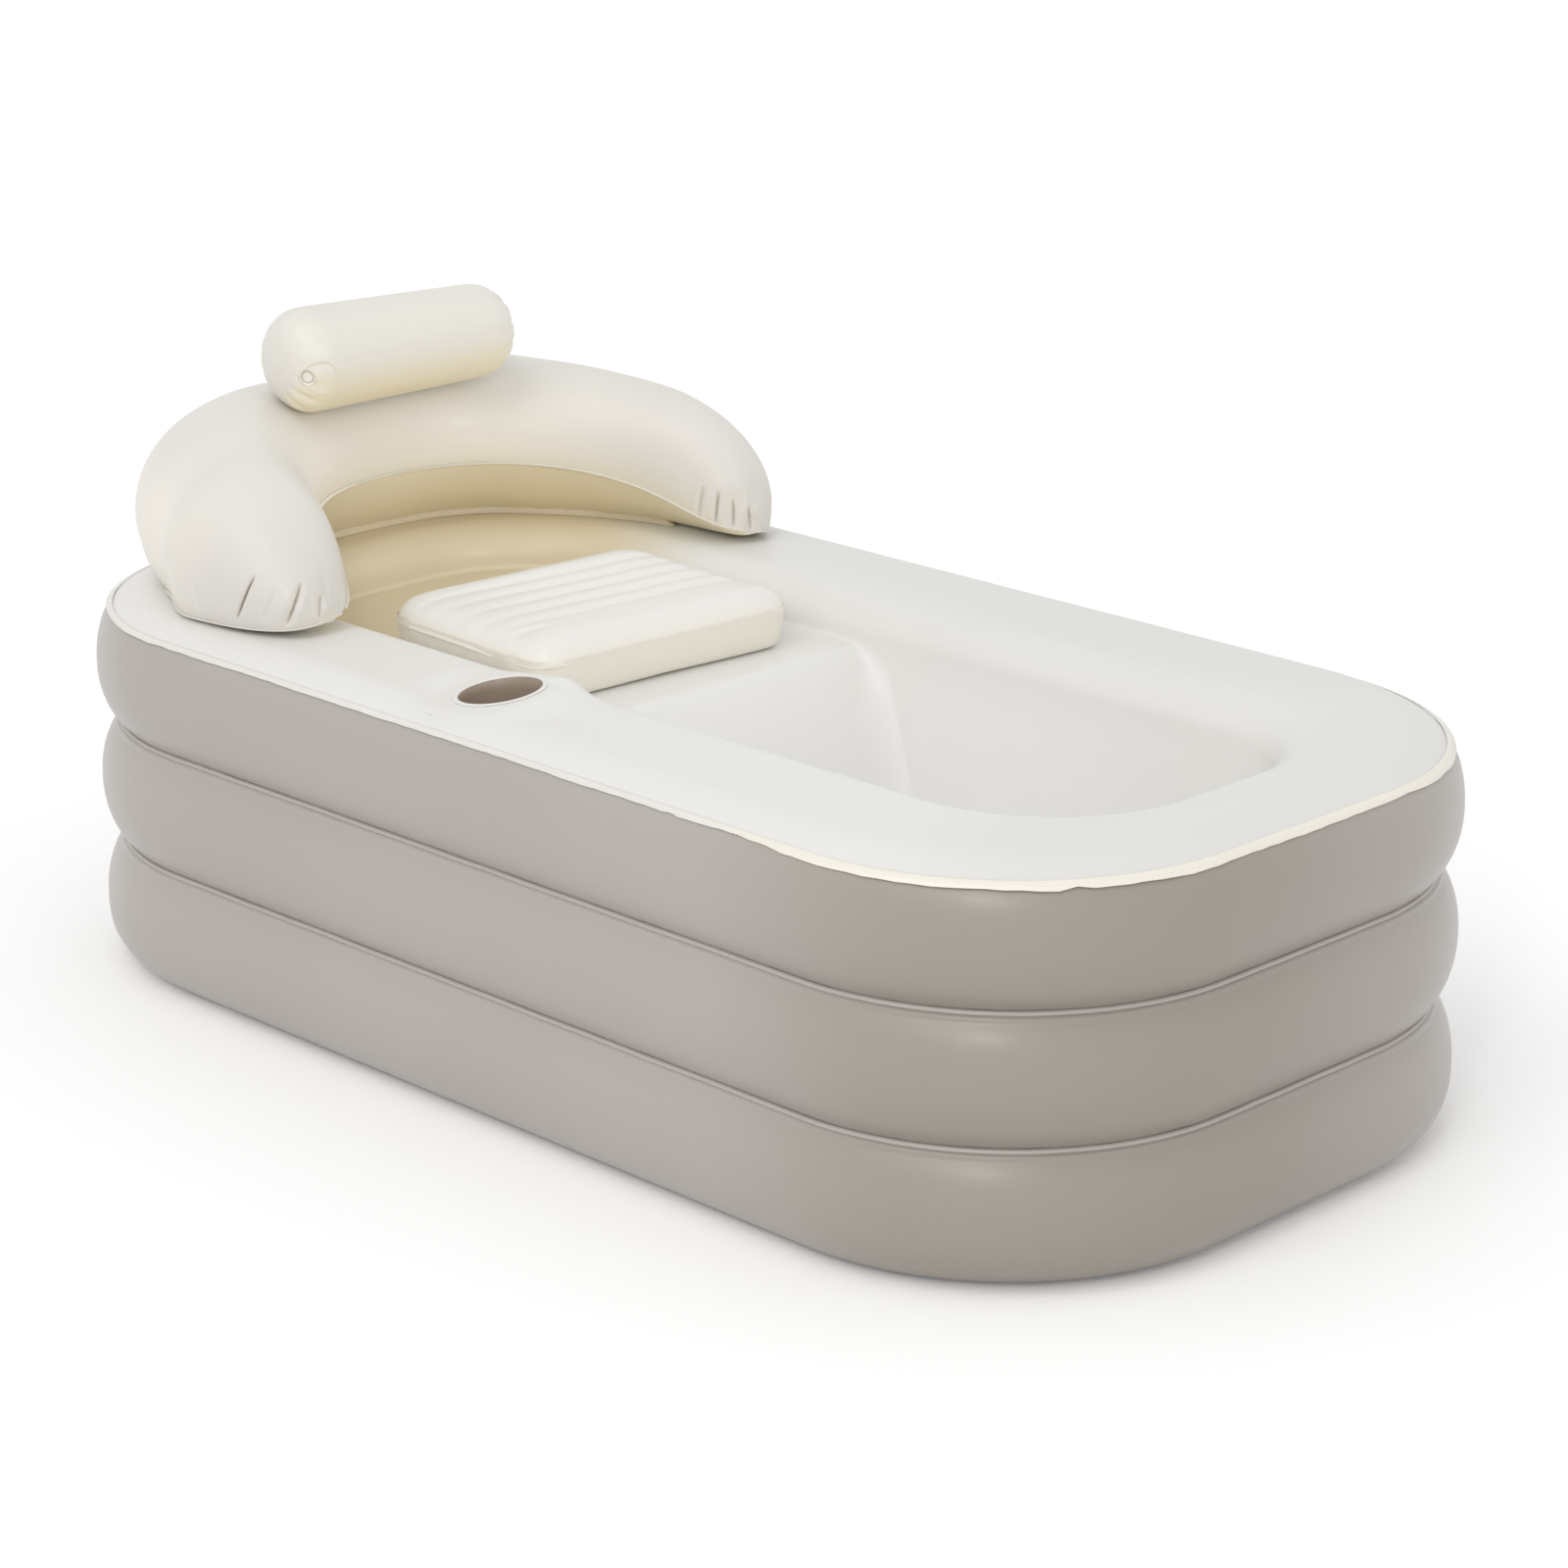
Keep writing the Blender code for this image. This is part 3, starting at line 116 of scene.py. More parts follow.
def quarter_turn(count: int, start: float = 0.0) -> list[float]:
    """Angles of a quarter turn in even steps, with both ends."""
    return [start + QUARTER * step / count for step in range(count + 1)]


def distances(plan: np.ndarray) -> np.ndarray:
    """Distance of each point of a closed outline from its first one, along the outline."""
    steps = np.linalg.norm(np.roll(plan, -1, axis=0) - plan, axis=1)
    return np.concatenate([[0], np.cumsum(steps)[:-1]])


def smooth_read(at: float, shares: Sequence[float], values: Sequence[float]) -> float:
    """Read a smooth curve through values at given shares, without overshoot.

    Args:
        at: The share to read at.
        shares: Rising shares.
        values: The value at each share.

    Returns:
        The value there.
    """
    last = len(shares) - 1
    slopes = [(values[i + 1] - values[i]) / (shares[i + 1] - shares[i]) for i in range(last)]
    tangents = [2 * low * high / (low + high) if low * high > 0 else 0.0 for low, high in zip(slopes, slopes[1:])]
    tangents = [0.0, *tangents, slopes[-1]]
    i = min(max(sum(share <= at for share in shares) - 1, 0), last - 1)
    run = shares[i + 1] - shares[i]
    t = share_of(at, shares[i], shares[i + 1])
    return ((2 * t ** 3 - 3 * t ** 2 + 1) * values[i] + (t ** 3 - 2 * t ** 2 + t) * run * tangents[i]
            + (3 * t ** 2 - 2 * t ** 3) * values[i + 1] + (t ** 3 - t ** 2) * run * tangents[i + 1])


# Finishes


def linear(colour: str) -> tuple[float, float, float, float]:
    """Turn an sRGB colour of six hex digits after a hash sign into linear light.

    Args:
        colour: The colour.

    Returns:
        Red, green, blue and an alpha of 1.
    """
    parts = [int(colour[place:place + 2], 16) / 255 for place in (1, 3, 5)]
    light = [part / 12.92 if part <= 0.04045 else ((part + 0.055) / 1.055) ** 2.4 for part in parts]
    return light[0], light[1], light[2], 1.0


def feed(node: Node, inputs: dict) -> Node:
    """Set or link the inputs of a node.

    Args:
        node: The node.
        inputs: By name or number, a value, a socket, or a node that feeds it from its first output.

    Returns:
        The same node.
    """
    for name, value in inputs.items():
        source = value.outputs[0] if isinstance(value, Node) else value
        if isinstance(source, NodeSocket):
            node.id_data.links.new(source, node.inputs[name])
        else:
            node.inputs[name].default_value = source
    return node


def add_node(tree: NodeTree, kind: str, inputs: dict | None = None, **settings: object) -> Node:
    """Add one node with its settings, values and links.

    Args:
        tree: The node tree.
        kind: Blender's name for the type of node.
        inputs: What each of its inputs gets, as in feed().
        settings: Attributes of the node.

    Returns:
        The new node.
    """
    made = tree.nodes.new(kind)
    for name, value in settings.items():
        setattr(made, name, value)
    return feed(made, inputs or {})


def lay_over(tone: Node, colour: str, amount: Node | NodeSocket) -> Node:
    """Mix a colour into the Mix node with the tone so far, by an amount."""
    return add_node(tone.id_data, "ShaderNodeMix", {0: amount, 6: tone.outputs[2], 7: linear(colour)},
                    data_type="RGBA")


@dataclass(frozen=True)
class Shade:
    """A stretch of film with another tone: an ellipsoid that fades out from its core. Most of them are painted shade
    or painted light.
    """

    colour: str
    centre: tuple[float, float, float]
    reach: tuple[float, float, float]
    core: float
    edge: float = 1.08

    def amount(self, tree: NodeTree, place: NodeSocket) -> Node:
        """How much of the tone a place gets.

        Args:
            tree: The node tree.
            place: Object coordinates.

        Returns:
            A node with the amount, from 0 to 1.
        """
        away = add_node(tree, "ShaderNodeVectorMath", {0: place, 1: self.centre}, operation="SUBTRACT")
        away = add_node(tree, "ShaderNodeVectorMath", {0: away, 1: self.reach}, operation="DIVIDE")
        away = add_node(tree, "ShaderNodeVectorMath", {0: away}, operation="LENGTH").outputs["Value"]
        return add_node(tree, "ShaderNodeMapRange", {"Value": away, "From Min": self.edge, "From Max": self.core},
                        interpolation_type="SMOOTHSTEP")


@dataclass(frozen=True)
class Finish:
    """What all finishes share: two close tones that drift into each other, and a roughness."""

    name: str
    colour: str
    cloud: str
    roughness: float

    @cache
    def material(self) -> Material:
        """The material, made when it is first asked for.

        Returns:
            A Principled material on Object coordinates.
        """
        made = bpy.data.materials.new(self.name)
        made.use_nodes = True
        place = add_node(made.node_tree, "ShaderNodeTexCoord").outputs["Object"]
        self.dress(made.node_tree, place, made.node_tree.nodes["Principled BSDF"])
        return made

    def dress(self, tree: NodeTree, place: NodeSocket, shader: Node) -> None:
        """Draw the finish, which each kind of it does in its own way."""
        raise NotImplementedError

    def two_tones(self, tree: NodeTree, drift: Node) -> Node:
        """The Mix node that lets the two tones drift into each other."""
        return add_node(tree, "ShaderNodeMix", {0: drift, 6: linear(self.colour), 7: linear(self.cloud)},
                        data_type="RGBA")


@dataclass(frozen=True)
class Film(Finish):
    """Calendered PVC film, inflated: soft gloss, faint clouding and the fine grain of its rollers."""

    cloud_mm: float = 260.0
    grain_mm: float = 2.2
    grain_height: float = 0.03 * MM
    ripple_mm: float = 55.0
    ripple_height: float = 0.4 * MM
    wear: float = 0.05
    coat: float = 0.12
    coat_roughness: float = 0.22
    # Painted light and shade: a crown tone on up-facing faces, patches of shade and light, an under tone as warm
    # light off the cream film in the lee, and a darker tone in the pleats
    crown: str = ""
    crown_facing: tuple[float, float] = (0.15, 0.90)
    shades: tuple[Shade, ...] = ()
    under: str = ""
    under_facing: tuple[float, float] = (0.30, -0.75)
    lee_middle: tuple[float, float, float] = (-0.30, 0.0, 0.50)
    lee_facing: tuple[float, float] = (-0.10, 0.06)
    pleat_shade: str = ""

    def dress(self, tree: NodeTree, place: NodeSocket, shader: Node) -> None:
        """Draw the film's tones, grain and gloss.

        Args:
            tree: The node tree.
            place: Object coordinates.
            shader: The Principled node.
        """
        cloud = add_node(tree, "ShaderNodeTexNoise", {"Vector": place, "Scale": 1 / (self.cloud_mm * MM),
                                                      "Detail": 3.0})
        # Slow ripples in the blown film bend its gloss a little
        bump = add_node(tree, "ShaderNodeTexNoise", {"Vector": place, "Scale": 1 / (self.ripple_mm * MM)})
        bump = add_node(tree, "ShaderNodeBump", {"Strength": 1.0, "Distance": self.ripple_height, "Height": bump})
        # The rollers leave a grain of a few tenths of a millimetre, drawn coarser so that it shows
        grain = add_node(tree, "ShaderNodeTexNoise", {"Vector": place, "Scale": 1 / (self.grain_mm * MM)})
        bump = add_node(tree, "ShaderNodeBump", {"Strength": 1.0, "Distance": self.grain_height, "Height": grain,
                                                 "Normal": bump})
        worn = add_node(tree, "ShaderNodeMapRange", {"Value": cloud, "To Min": self.roughness - self.wear,
                                                     "To Max": self.roughness + self.wear})
        tone = self.toned(tree, self.two_tones(tree, cloud), place)
        feed(shader, {"Base Color": tone.outputs[2], "Normal": bump, "Roughness": worn, "IOR": 1.53,
                      "Coat Weight": self.coat, "Coat Roughness": self.coat_roughness})

    def toned(self, tree: NodeTree, tone: Node, place: NodeSocket) -> Node:
        """Paint light and shade into the film's tone, as light and shade fall on it and as light reaches it off the
        cream film round it.

        Args:
            tree: The node tree.
            tone: The Mix node with the film's own tone.
            place: Object coordinates.

        Returns:
            The last Mix node.
        """
        normal = add_node(tree, "ShaderNodeNewGeometry").outputs["Normal"]
        upward = add_node(tree, "ShaderNodeSeparateXYZ", {0: normal}).outputs["Z"]
        # Painted shade on up-facing faces
        if self.crown:
            tone = lay_over(tone, self.crown, add_node(
                tree, "ShaderNodeMapRange", {"Value": upward, "From Min": self.crown_facing[0],
                                             "From Max": self.crown_facing[1]}, interpolation_type="SMOOTHSTEP"))
        # Painted patches of shade and light
        for shade in self.shades:
            tone = lay_over(tone, shade.colour, shade.amount(tree, place))
        if self.under:
            # Painted reflection: undersides are warm only in the backrest's lee, where they face the seat
            inward = add_node(tree, "ShaderNodeVectorMath", {0: self.lee_middle, 1: place}, operation="SUBTRACT")
            inward = add_node(tree, "ShaderNodeVectorMath", {0: inward, 1: normal}, operation="DOT_PRODUCT")
            amounts = [add_node(tree, "ShaderNodeMapRange", {"Value": value, "From Min": none, "From Max": full},
                                interpolation_type="SMOOTHSTEP")
                       for value, (none, full) in ((upward, self.under_facing),
                                                   (inward.outputs["Value"], self.lee_facing))]
            amount = add_node(tree, "ShaderNodeMath", {0: amounts[0], 1: amounts[1]}, operation="MULTIPLY")
            tone = lay_over(tone, self.under, amount)
        if self.pleat_shade:
            # Painted shade in the pleats: two layers meet in a pleat, and little light comes back out of it
            depth = add_node(tree, "ShaderNodeAttribute", attribute_name="fold").outputs["Fac"]
            tone = lay_over(tone, self.pleat_shade, depth)
        return tone


@dataclass(frozen=True)
class Moulded(Finish):
    """Injection-moulded plastic or rubber: even colour, faint flow marks and a satin skin."""

    flow_mm: float = 14.0
    flow_bend: float = 0.6
    skin_mm: float = 1.2
    skin_height: float = 0.02 * MM

    def dress(self, tree: NodeTree, place: NodeSocket, shader: Node) -> None:
        """Draw the flow marks and the skin.

        Args:
            tree: The node tree.
            place: Object coordinates.
            shader: The Principled node.
        """
        flow = add_node(tree, "ShaderNodeTexNoise", {"Vector": place, "Scale": 1 / (self.flow_mm * MM),
                                                     "Distortion": self.flow_bend})
        skin = add_node(tree, "ShaderNodeTexNoise", {"Vector": place, "Scale": 1 / (self.skin_mm * MM)})
        bump = add_node(tree, "ShaderNodeBump", {"Strength": 1.0, "Distance": self.skin_height, "Height": skin})
        feed(shader, {"Base Color": self.two_tones(tree, flow).outputs[2], "Normal": bump,
                      "Roughness": self.roughness})


# Thick coloured film of the rings: even taupe with a soft, broad gloss, and painted shade that darkens it round the
# foot end
TAUPE_FILM = Film("Taupe PVC film", "#ACA6A0", "#A69F99", 0.40, ripple_height=0.3 * MM, coat=0.30,
                  coat_roughness=0.30, shades=(Shade("#978F86", (0.82, -0.36, 0.18), (0.46, 0.60, 0.90), 0.40),))
# Undyed film of blocks and flange: a cool white that hardly shines
WHITE_FILM = Film("White PVC film", "#E4E3DF", "#E1E0DC", 0.46, ripple_height=0.2 * MM)
# The same film over the deck: white, with painted shade on up-facing faces, straw where it mirrors the backrest as
# painted reflection, greyer along the far side and the foot as painted shade, and brightest in the basin as painted
# light
LINER_FILM = Film("White liner PVC film", "#ECEAE7", "#E9E8E4", 0.46, ripple_height=0.2 * MM, crown="#DFDEDA",
                  shades=(Shade("#D9CDB2", (-0.600, 0.030, 0.437), (0.365, 0.290, 0.30), 0.72),
                          Shade("#D8D7D3", (0.150, 0.400, 0.437), (0.80, 0.22, 0.16), 0.50),
                          Shade("#DAD9D5", (0.760, 0.0, 0.437), (0.26, 0.60, 0.10), 0.50),
                          Shade("#F1F1F3", (0.240, 0.090, 0.200), (0.28, 0.24, 0.32), 0.15)))
# Cream film of backrest and roll: pale cream, with painted shade on up-facing faces, warm underneath as painted
# reflection of the cream film, duller on the far arm, the near arm and the back's crest as painted shade, brightest
# where the near arm swells as painted light, and dark only inside its pleats as painted shade
CREAM_FILM = Film("Cream PVC film", "#E7E2D8", "#E4DED3", 0.48, ripple_height=0.3 * MM, crown="#DAD7D0",
                  under="#EFE5C9", pleat_shade="#7D7262",
                  shades=(Shade("#D7D3CC", (-0.360, 0.370, 0.540), (0.42, 0.28, 0.34), 0.40),
                          Shade("#D4D0C9", (-0.370, -0.340, 0.470), (0.22, 0.18, 0.16), 0.35),
                          Shade("#DCD8D0", (-0.584, -0.020, 0.690), (0.14, 0.24, 0.10), 0.60),
                          Shade("#F4EFE7", (-0.560, -0.190, 0.530), (0.13, 0.17, 0.10), 0.25)))
# A batch of the same film: a little whiter and greyer on top as painted shade, with light cream sides as painted
# reflection of the cream film
CUSHION_FILM = Film("Cushion PVC film", "#ECE7DC", "#E9E4D8", 0.48, ripple_height=0.3 * MM, crown="#E0DED9",
                    under="#F1E7CE")
# The weld strip lies in the shade of the backrest's overhang, and painted shade makes it a darker, sandy cream
STRIP_FILM = Film("Cream strip film with painted shade", "#DDD1B8", "#D6C9AE", 0.44, cloud_mm=60.0)
# The pressed lip between two rings: a shade lighter than they are, as a painted highlight of the shoulder that
# catches the light, which draws the crease's fine line
CREASE_FILM = Film("Pressed taupe weld film", "#B4AEA8", "#ADA6A0", 0.40, cloud_mm=40.0)
# The pressed edge of the deck film: off-white along the side, creamier round the foot
WELD_FILM = Film("Pressed weld film", "#E2E0DB", "#DAD7D0", 0.40, cloud_mm=22.0,
                 shades=(Shade("#E8E3D7", (0.720, -0.180, 0.420), (0.46, 0.56, 0.30), 0.60),))
# Thin film of the cup holder: browner and darker than the rings as painted shade, as it sits in its own shade
CUP_FILM = Film("Cup lining film with painted shade", "#A79686", "#958576", 0.42, cloud_mm=60.0)
# Soft valve PVC, cloudy from the mould: white with a wet gloss
VALVE_PLASTIC = Moulded("Soft clear-white valve PVC", "#E3E3DE", "#D8D8D2", 0.34)
# Hard plastic of the screw caps: the cleanest white on the tub
CAP_PLASTIC = Moulded("White moulded cap", "#EDEDE9", "#E6E6E1", 0.36)
# Plastic of the small stoppers: matched to the cream film round them
STOPPER_PLASTIC = Moulded("Cream moulded stopper", "#E9E5DA", "#E2DDD0", 0.38)
# Rubber under the drain's flange: a matt dark line
SEAL_RUBBER = Moulded("Grey moulded seal rubber", "#55534F", "#4B4946", 0.62)


# Meshes


def linked(name: str, data: ID) -> Object:
    """Put a mesh, lamp or camera into the scene as an object.

    Args:
        name: Name of the object.
        data: The mesh, lamp or camera.

    Returns:
        The object.
    """
    made = bpy.data.objects.new(name, data)
    bpy.context.scene.collection.objects.link(made)
    return made


def piece_from(name: str, points: np.ndarray, faces: Sequence[Sequence[int]], finish: Finish,
               facing: Vector | None = None) -> Object:
    """Make an object from points and faces, welded, facing outwards and smooth.

    Args:
        name: Name of the piece.
        points: Its points, one row each.
        faces: Its faces as point numbers.
        finish: Its finish.
        facing: For an open sheet, the side that it faces.

    Returns:
        The object, linked to the scene.
    """
    mesh = bpy.data.meshes.new(name)
    mesh.from_pydata([tuple(point) for point in points], [], [tuple(face) for face in faces])
    work = bmesh.new()
    work.from_mesh(mesh)
    bmesh.ops.remove_doubles(work, verts=work.verts, dist=0.02 * MM)
    bmesh.ops.dissolve_degenerate(work, edges=work.edges, dist=0.01 * MM)
    bmesh.ops.recalc_face_normals(work, faces=work.faces)
    if facing is not None and sum(face.normal.dot(facing) * face.calc_area() for face in work.faces) < 0:
        bmesh.ops.reverse_faces(work, faces=work.faces)
    work.to_mesh(mesh)
    work.free()
    mesh.materials.append(finish.material())
    mesh.shade_smooth()
    return linked(name, mesh)


def grid_faces(rows: int, columns: int, wrap_rows: bool = False, wrap_columns: bool = True) -> list[tuple]:
    """Faces of a grid of points that is stored row by row.

    Args:
        rows: Number of rows.
        columns: Points in a row.
        wrap_rows: Whether the last row joins the first.
        wrap_columns: Whether a row closes on itself.

    Returns:
        Four point numbers for each face.
    """
    made = []
    for row in range(rows if wrap_rows else rows - 1):
        after = (row + 1) % rows
        for column in range(columns if wrap_columns else columns - 1):
            beside = (column + 1) % columns
            made.append((row * columns + column, row * columns + beside,
                         after * columns + beside, after * columns + column))
    return made


def skinned(name: str, loops: Sequence, finish: Finish, closed: bool = False, capped: bool = False,
            facing: Vector | None = None) -> Object:
    """Skin through loops of points.

    Args:
        name: Name of the piece.
        loops: The loops, with as many points in each.
        finish: Its finish.
        closed: Whether the last loop joins the first.
        capped: Whether a face closes each end.
        facing: For an open sheet, the side that it faces.

    Returns:
        The piece.
    """
    rows, columns = len(loops), len(loops[0])
    faces = grid_faces(rows, columns, closed)
    if capped:
        faces += [tuple(reversed(range(columns))), tuple(range((rows - 1) * columns, rows * columns))]
    return piece_from(name, np.concatenate([np.array(loop) for loop in loops]), faces, finish, facing)


def baked(piece: Object) -> Object:
    """Turn a piece's modifiers into plain mesh.

    Args:
        piece: The piece.

    Returns:
        The same piece without modifiers.
    """
    bpy.context.view_layer.update()
    mesh = bpy.data.meshes.new_from_object(piece.evaluated_get(bpy.context.evaluated_depsgraph_get()))
    piece.modifiers.clear()
    piece.data = mesh
    return piece


def carve(piece: Object, cutters: Sequence[Object]) -> Object:
    """Subtract cutters from a piece and remove them.

    Args:
        piece: The piece, a closed body.
        cutters: Closed bodies that are taken out of it.

    Returns:
        The same piece.
    """
    for cutter in cutters:
        boolean = piece.modifiers.new(cutter.name, "BOOLEAN")
        boolean.operation = "DIFFERENCE"
        boolean.solver = "EXACT"
        boolean.object = cutter
    baked(piece)
    for cutter in cutters:
        bpy.data.objects.remove(cutter)
    piece.data.set_sharp_from_angle(angle=math.radians(50))
    return piece


def subdivided(piece: Object) -> Object:
    """Smooth a piece by one step of subdivision.

    Args:
        piece: The piece.

    Returns:
        The same piece, as plain mesh.
    """
    finer = piece.modifiers.new("Smooth", "SUBSURF")
    finer.levels = finer.render_levels = 1
    return baked(piece)


def refined(piece: Object, wanted: Callable[[Vector], bool], cuts: int) -> None:
    """Split the faces near chosen places into finer ones.

    Args:
        piece: The piece.
        wanted: Whether the mesh is made finer at a place.
        cuts: New points on each edge there.
    """
    work = bmesh.new()
    work.from_mesh(piece.data)
    edges = [edge for edge in work.edges if wanted((edge.verts[0].co + edge.verts[1].co) / 2)]
    bmesh.ops.subdivide_edges(work, edges=edges, cuts=cuts, use_grid_fill=True, smooth=1.0)
    work.to_mesh(piece.data)
    work.free()
    piece.data.shade_smooth()


def aim(direction: Sequence[float], place: Sequence[float]) -> Matrix:
    """Matrix that puts a turned piece at a place with its own Z along a direction."""
    return Matrix.Translation(Vector(place)) @ Vector(direction).to_track_quat("Z", "Y").to_matrix().to_4x4()


def turned(name: str, profile: Sequence[tuple[float, float]], matrix: Matrix, finish: Finish = WHITE_FILM,
           soften: float = 0.0, closed: bool = False, segments: int = 64) -> Object:
    """Turn a profile about Z, soften its corners and put it in place.

    Args:
        name: Name of the piece.
        profile: Radius and height pairs.
        matrix: Where the piece goes.
        finish: Its finish, which a cutter doesn't need.
        soften: Width of the softened corners, or 0 for none.
        closed: Whether the profile closes on itself, as for a ring.
        segments: Steps round the axis.

    Returns:
        The object.
    """
    piece = skinned(name, [[matrix @ Vector((radius * math.cos(angle), radius * math.sin(angle), height))
                            for angle in full_turn(segments)] for radius, height in profile], finish, closed)
    if soften:
        bevel = piece.modifiers.new("Soft corners", "BEVEL")
        bevel.width = soften
        bevel.segments = 3
        bevel.limit_method = "ANGLE"
        bevel.angle_limit = math.radians(35)
        baked(piece).data.shade_smooth()
    return piece


def kept(piece: Object, slot: str, *nodes: str, beside: str = "") -> None:
    """Attach a finished piece to its body's empty and hide the CAD nodes that it replaces.

    Args:
        piece: The piece, final.
        slot: The record's material slot, not used.
        nodes: CAD nodes that it replaces.
        beside: For a piece that replaces none, a node whose body it rides on.
    """
    body = BODY_OF_NODE[beside or nodes[0]]
    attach(piece, body)
    if nodes:
        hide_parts(*nodes)
    LOG.info("%s: %d points, rides on %s", piece.name, len(piece.data.vertices), body)


def coordinates(mesh: Mesh) -> np.ndarray:
    """The points of a mesh.

    Args:
        mesh: The mesh.

    Returns:
        One row for each point.
    """
    flat = np.zeros(len(mesh.vertices) * 3)
    mesh.vertices.foreach_get("co", flat)
    return flat.reshape(-1, 3)


@dataclass(frozen=True)
class Air:
    """Air pressure on a film, as a short cloth simulation with a cap on how far it moves."""

    pressure: float = 3.0
    frames: int = 12
    cap: float = 2.0 * MM
    stretch: float = 18.0

    def fill(self, piece: Object, pinned: Sequence[int]) -> None:
        """Blow a piece up and keep the result in its mesh.

        Args:
            piece: The piece, a closed body.
            pinned: Points that stay where they are.
        """
        piece.vertex_groups.new(name="pinned").add(list(pinned), 1.0, "REPLACE")
        cloth = piece.modifiers.new("Air", "CLOTH")
        for name, value in (("quality", 5), ("mass", 0.25), ("use_pressure", True),
                            ("uniform_pressure_force", self.pressure), ("tension_stiffness", self.stretch),
                            ("compression_stiffness", self.stretch), ("bending_stiffness", 0.6),
                            ("vertex_group_mass", "pinned")):
            setattr(cloth.settings, name, value)
        cloth.settings.effector_weights.gravity = 0
        cloth.point_cache.frame_start = 1
        cloth.point_cache.frame_end = self.frames
        for number in range(1, self.frames + 1):
            bpy.context.scene.frame_set(number)
        before = coordinates(piece.data)
        shift = coordinates(piece.evaluated_get(bpy.context.evaluated_depsgraph_get()).data) - before
        reach = np.linalg.norm(shift, axis=1)
        shift *= np.minimum(1, self.cap / np.maximum(reach, 1e-9))[:, None]
        piece.modifiers.remove(cloth)
        piece.vertex_groups.clear()
        piece.data.vertices.foreach_set("co", (before + shift).ravel())
        piece.data.update()
        bpy.context.scene.frame_set(1)
        LOG.info("%s: air moved it %.1f mm at most", piece.name, min(reach.max(), self.cap) / MM)


# Geometry Nodes


def begin_tree(name: str, *sizes: str) -> tuple[NodeTree, Node]:
    """Begin a geometry tree with one named input for each size.

    Args:
        name: Name of the tree.
        sizes: Names of the sizes.

    Returns:
        The tree and its Group Input node.
    """
    tree = bpy.data.node_groups.new(name, "GeometryNodeTree")
    tree.interface.new_socket("Geometry", in_out="INPUT", socket_type="NodeSocketGeometry")
    for size in sizes:
        tree.interface.new_socket(size, in_out="INPUT", socket_type="NodeSocketFloat")
    tree.interface.new_socket("Geometry", in_out="OUTPUT", socket_type="NodeSocketGeometry")
    return tree, add_node(tree, "NodeGroupInput")


def end_tree(shape: Node, finish: Finish) -> NodeTree:
    """End a tree in Realize Instances and Set Material.

    Args:
        shape: The node that makes the geometry.
        finish: The finish.

    Returns:
        The tree.
    """
    tree = shape.id_data
    shape = add_node(tree, "GeometryNodeRealizeInstances", {0: shape})
    shape = add_node(tree, "GeometryNodeSetShadeSmooth", {0: shape})
    shape = add_node(tree, "GeometryNodeSetMaterial", {"Geometry": shape, "Material": finish.material()})
    add_node(tree, "NodeGroupOutput", {0: shape})
    return tree


def lip_tree(finish: Finish) -> NodeTree:
    """A tree that runs a flattened round lip of film along a line.

    Args:
        finish: The finish of the lip.

    Returns:
        The tree, with inputs Width, Thickness and Spacing.
    """
    tree, given = begin_tree("Weld lip", "Width", "Thickness", "Spacing")
    size = given.outputs
    line = add_node(tree, "GeometryNodeMeshToCurve", {"Mesh": given})
    line = add_node(tree, "GeometryNodeResampleCurve", {"Curve": line, "Length": size["Spacing"]}, mode="LENGTH")
    line = add_node(tree, "GeometryNodeSetCurveNormal", {"Curve": line}, mode="Z_UP")
    section = add_node(tree, "GeometryNodeCurvePrimitiveCircle", {"Resolution": 14, "Radius": 0.5})
    scale = add_node(tree, "ShaderNodeCombineXYZ", {"X": size["Width"], "Y": size["Thickness"], "Z": 1.0})
    section = add_node(tree, "GeometryNodeTransform", {"Geometry": section, "Scale": scale})
    lip = add_node(tree, "GeometryNodeCurveToMesh", {"Curve": line, "Profile Curve": section, "Fill Caps": True})
    return end_tree(lip, finish)


def rib_tree(finish: Finish) -> NodeTree:
    """A tree that sets small pressed ribs across a line.

    Args:
        finish: The finish of the ribs.

    Returns:
        The tree, with inputs Spacing, Length, Width and Height.
    """
    tree, given = begin_tree("Pressed ribs", "Spacing", "Length", "Width", "Height")
    size = given.outputs
    line = add_node(tree, "GeometryNodeMeshToCurve", {"Mesh": given})
    line = add_node(tree, "GeometryNodeSetCurveNormal", {"Curve": line}, mode="Z_UP")
    places = add_node(tree, "GeometryNodeCurveToPoints", {"Curve": line, "Length": size["Spacing"]}, mode="LENGTH")
    scale = add_node(tree, "ShaderNodeCombineXYZ", {"X": size["Height"], "Y": size["Length"], "Z": size["Width"]})
    rib = add_node(tree, "GeometryNodeMeshUVSphere", {"Segments": 8, "Rings": 5, "Radius": 0.5})
    ribs = add_node(tree, "GeometryNodeInstanceOnPoints", {
        "Points": places, "Instance": rib, "Rotation": places.outputs["Rotation"], "Scale": scale})
    return end_tree(ribs, finish)


def grown(name: str, line: Sequence[Vector], tree: NodeTree, closed: bool = True, **sizes: float) -> Object:
    """Run a tree on a bare line of edges and keep its result as plain mesh.

    Args:
        name: Name of the piece.
        line: Places along the line.
        tree: The geometry node tree.
        closed: Whether the line closes on itself.
        sizes: Values for the tree's named inputs.

    Returns:
        The piece.
    """
    count = len(line)
    mesh = bpy.data.meshes.new(name)
    mesh.from_pydata([tuple(point) for point in line],
                     [(step, (step + 1) % count) for step in range(count if closed else count - 1)], [])
    piece = linked(name, mesh)
    modifier = piece.modifiers.new(tree.name, "NODES")
    modifier.node_group = tree
    for item in tree.interface.items_tree:
        if item.in_out == "INPUT" and item.name in sizes:
            modifier[item.identifier] = sizes[item.name]
    return baked(piece)


# The tub


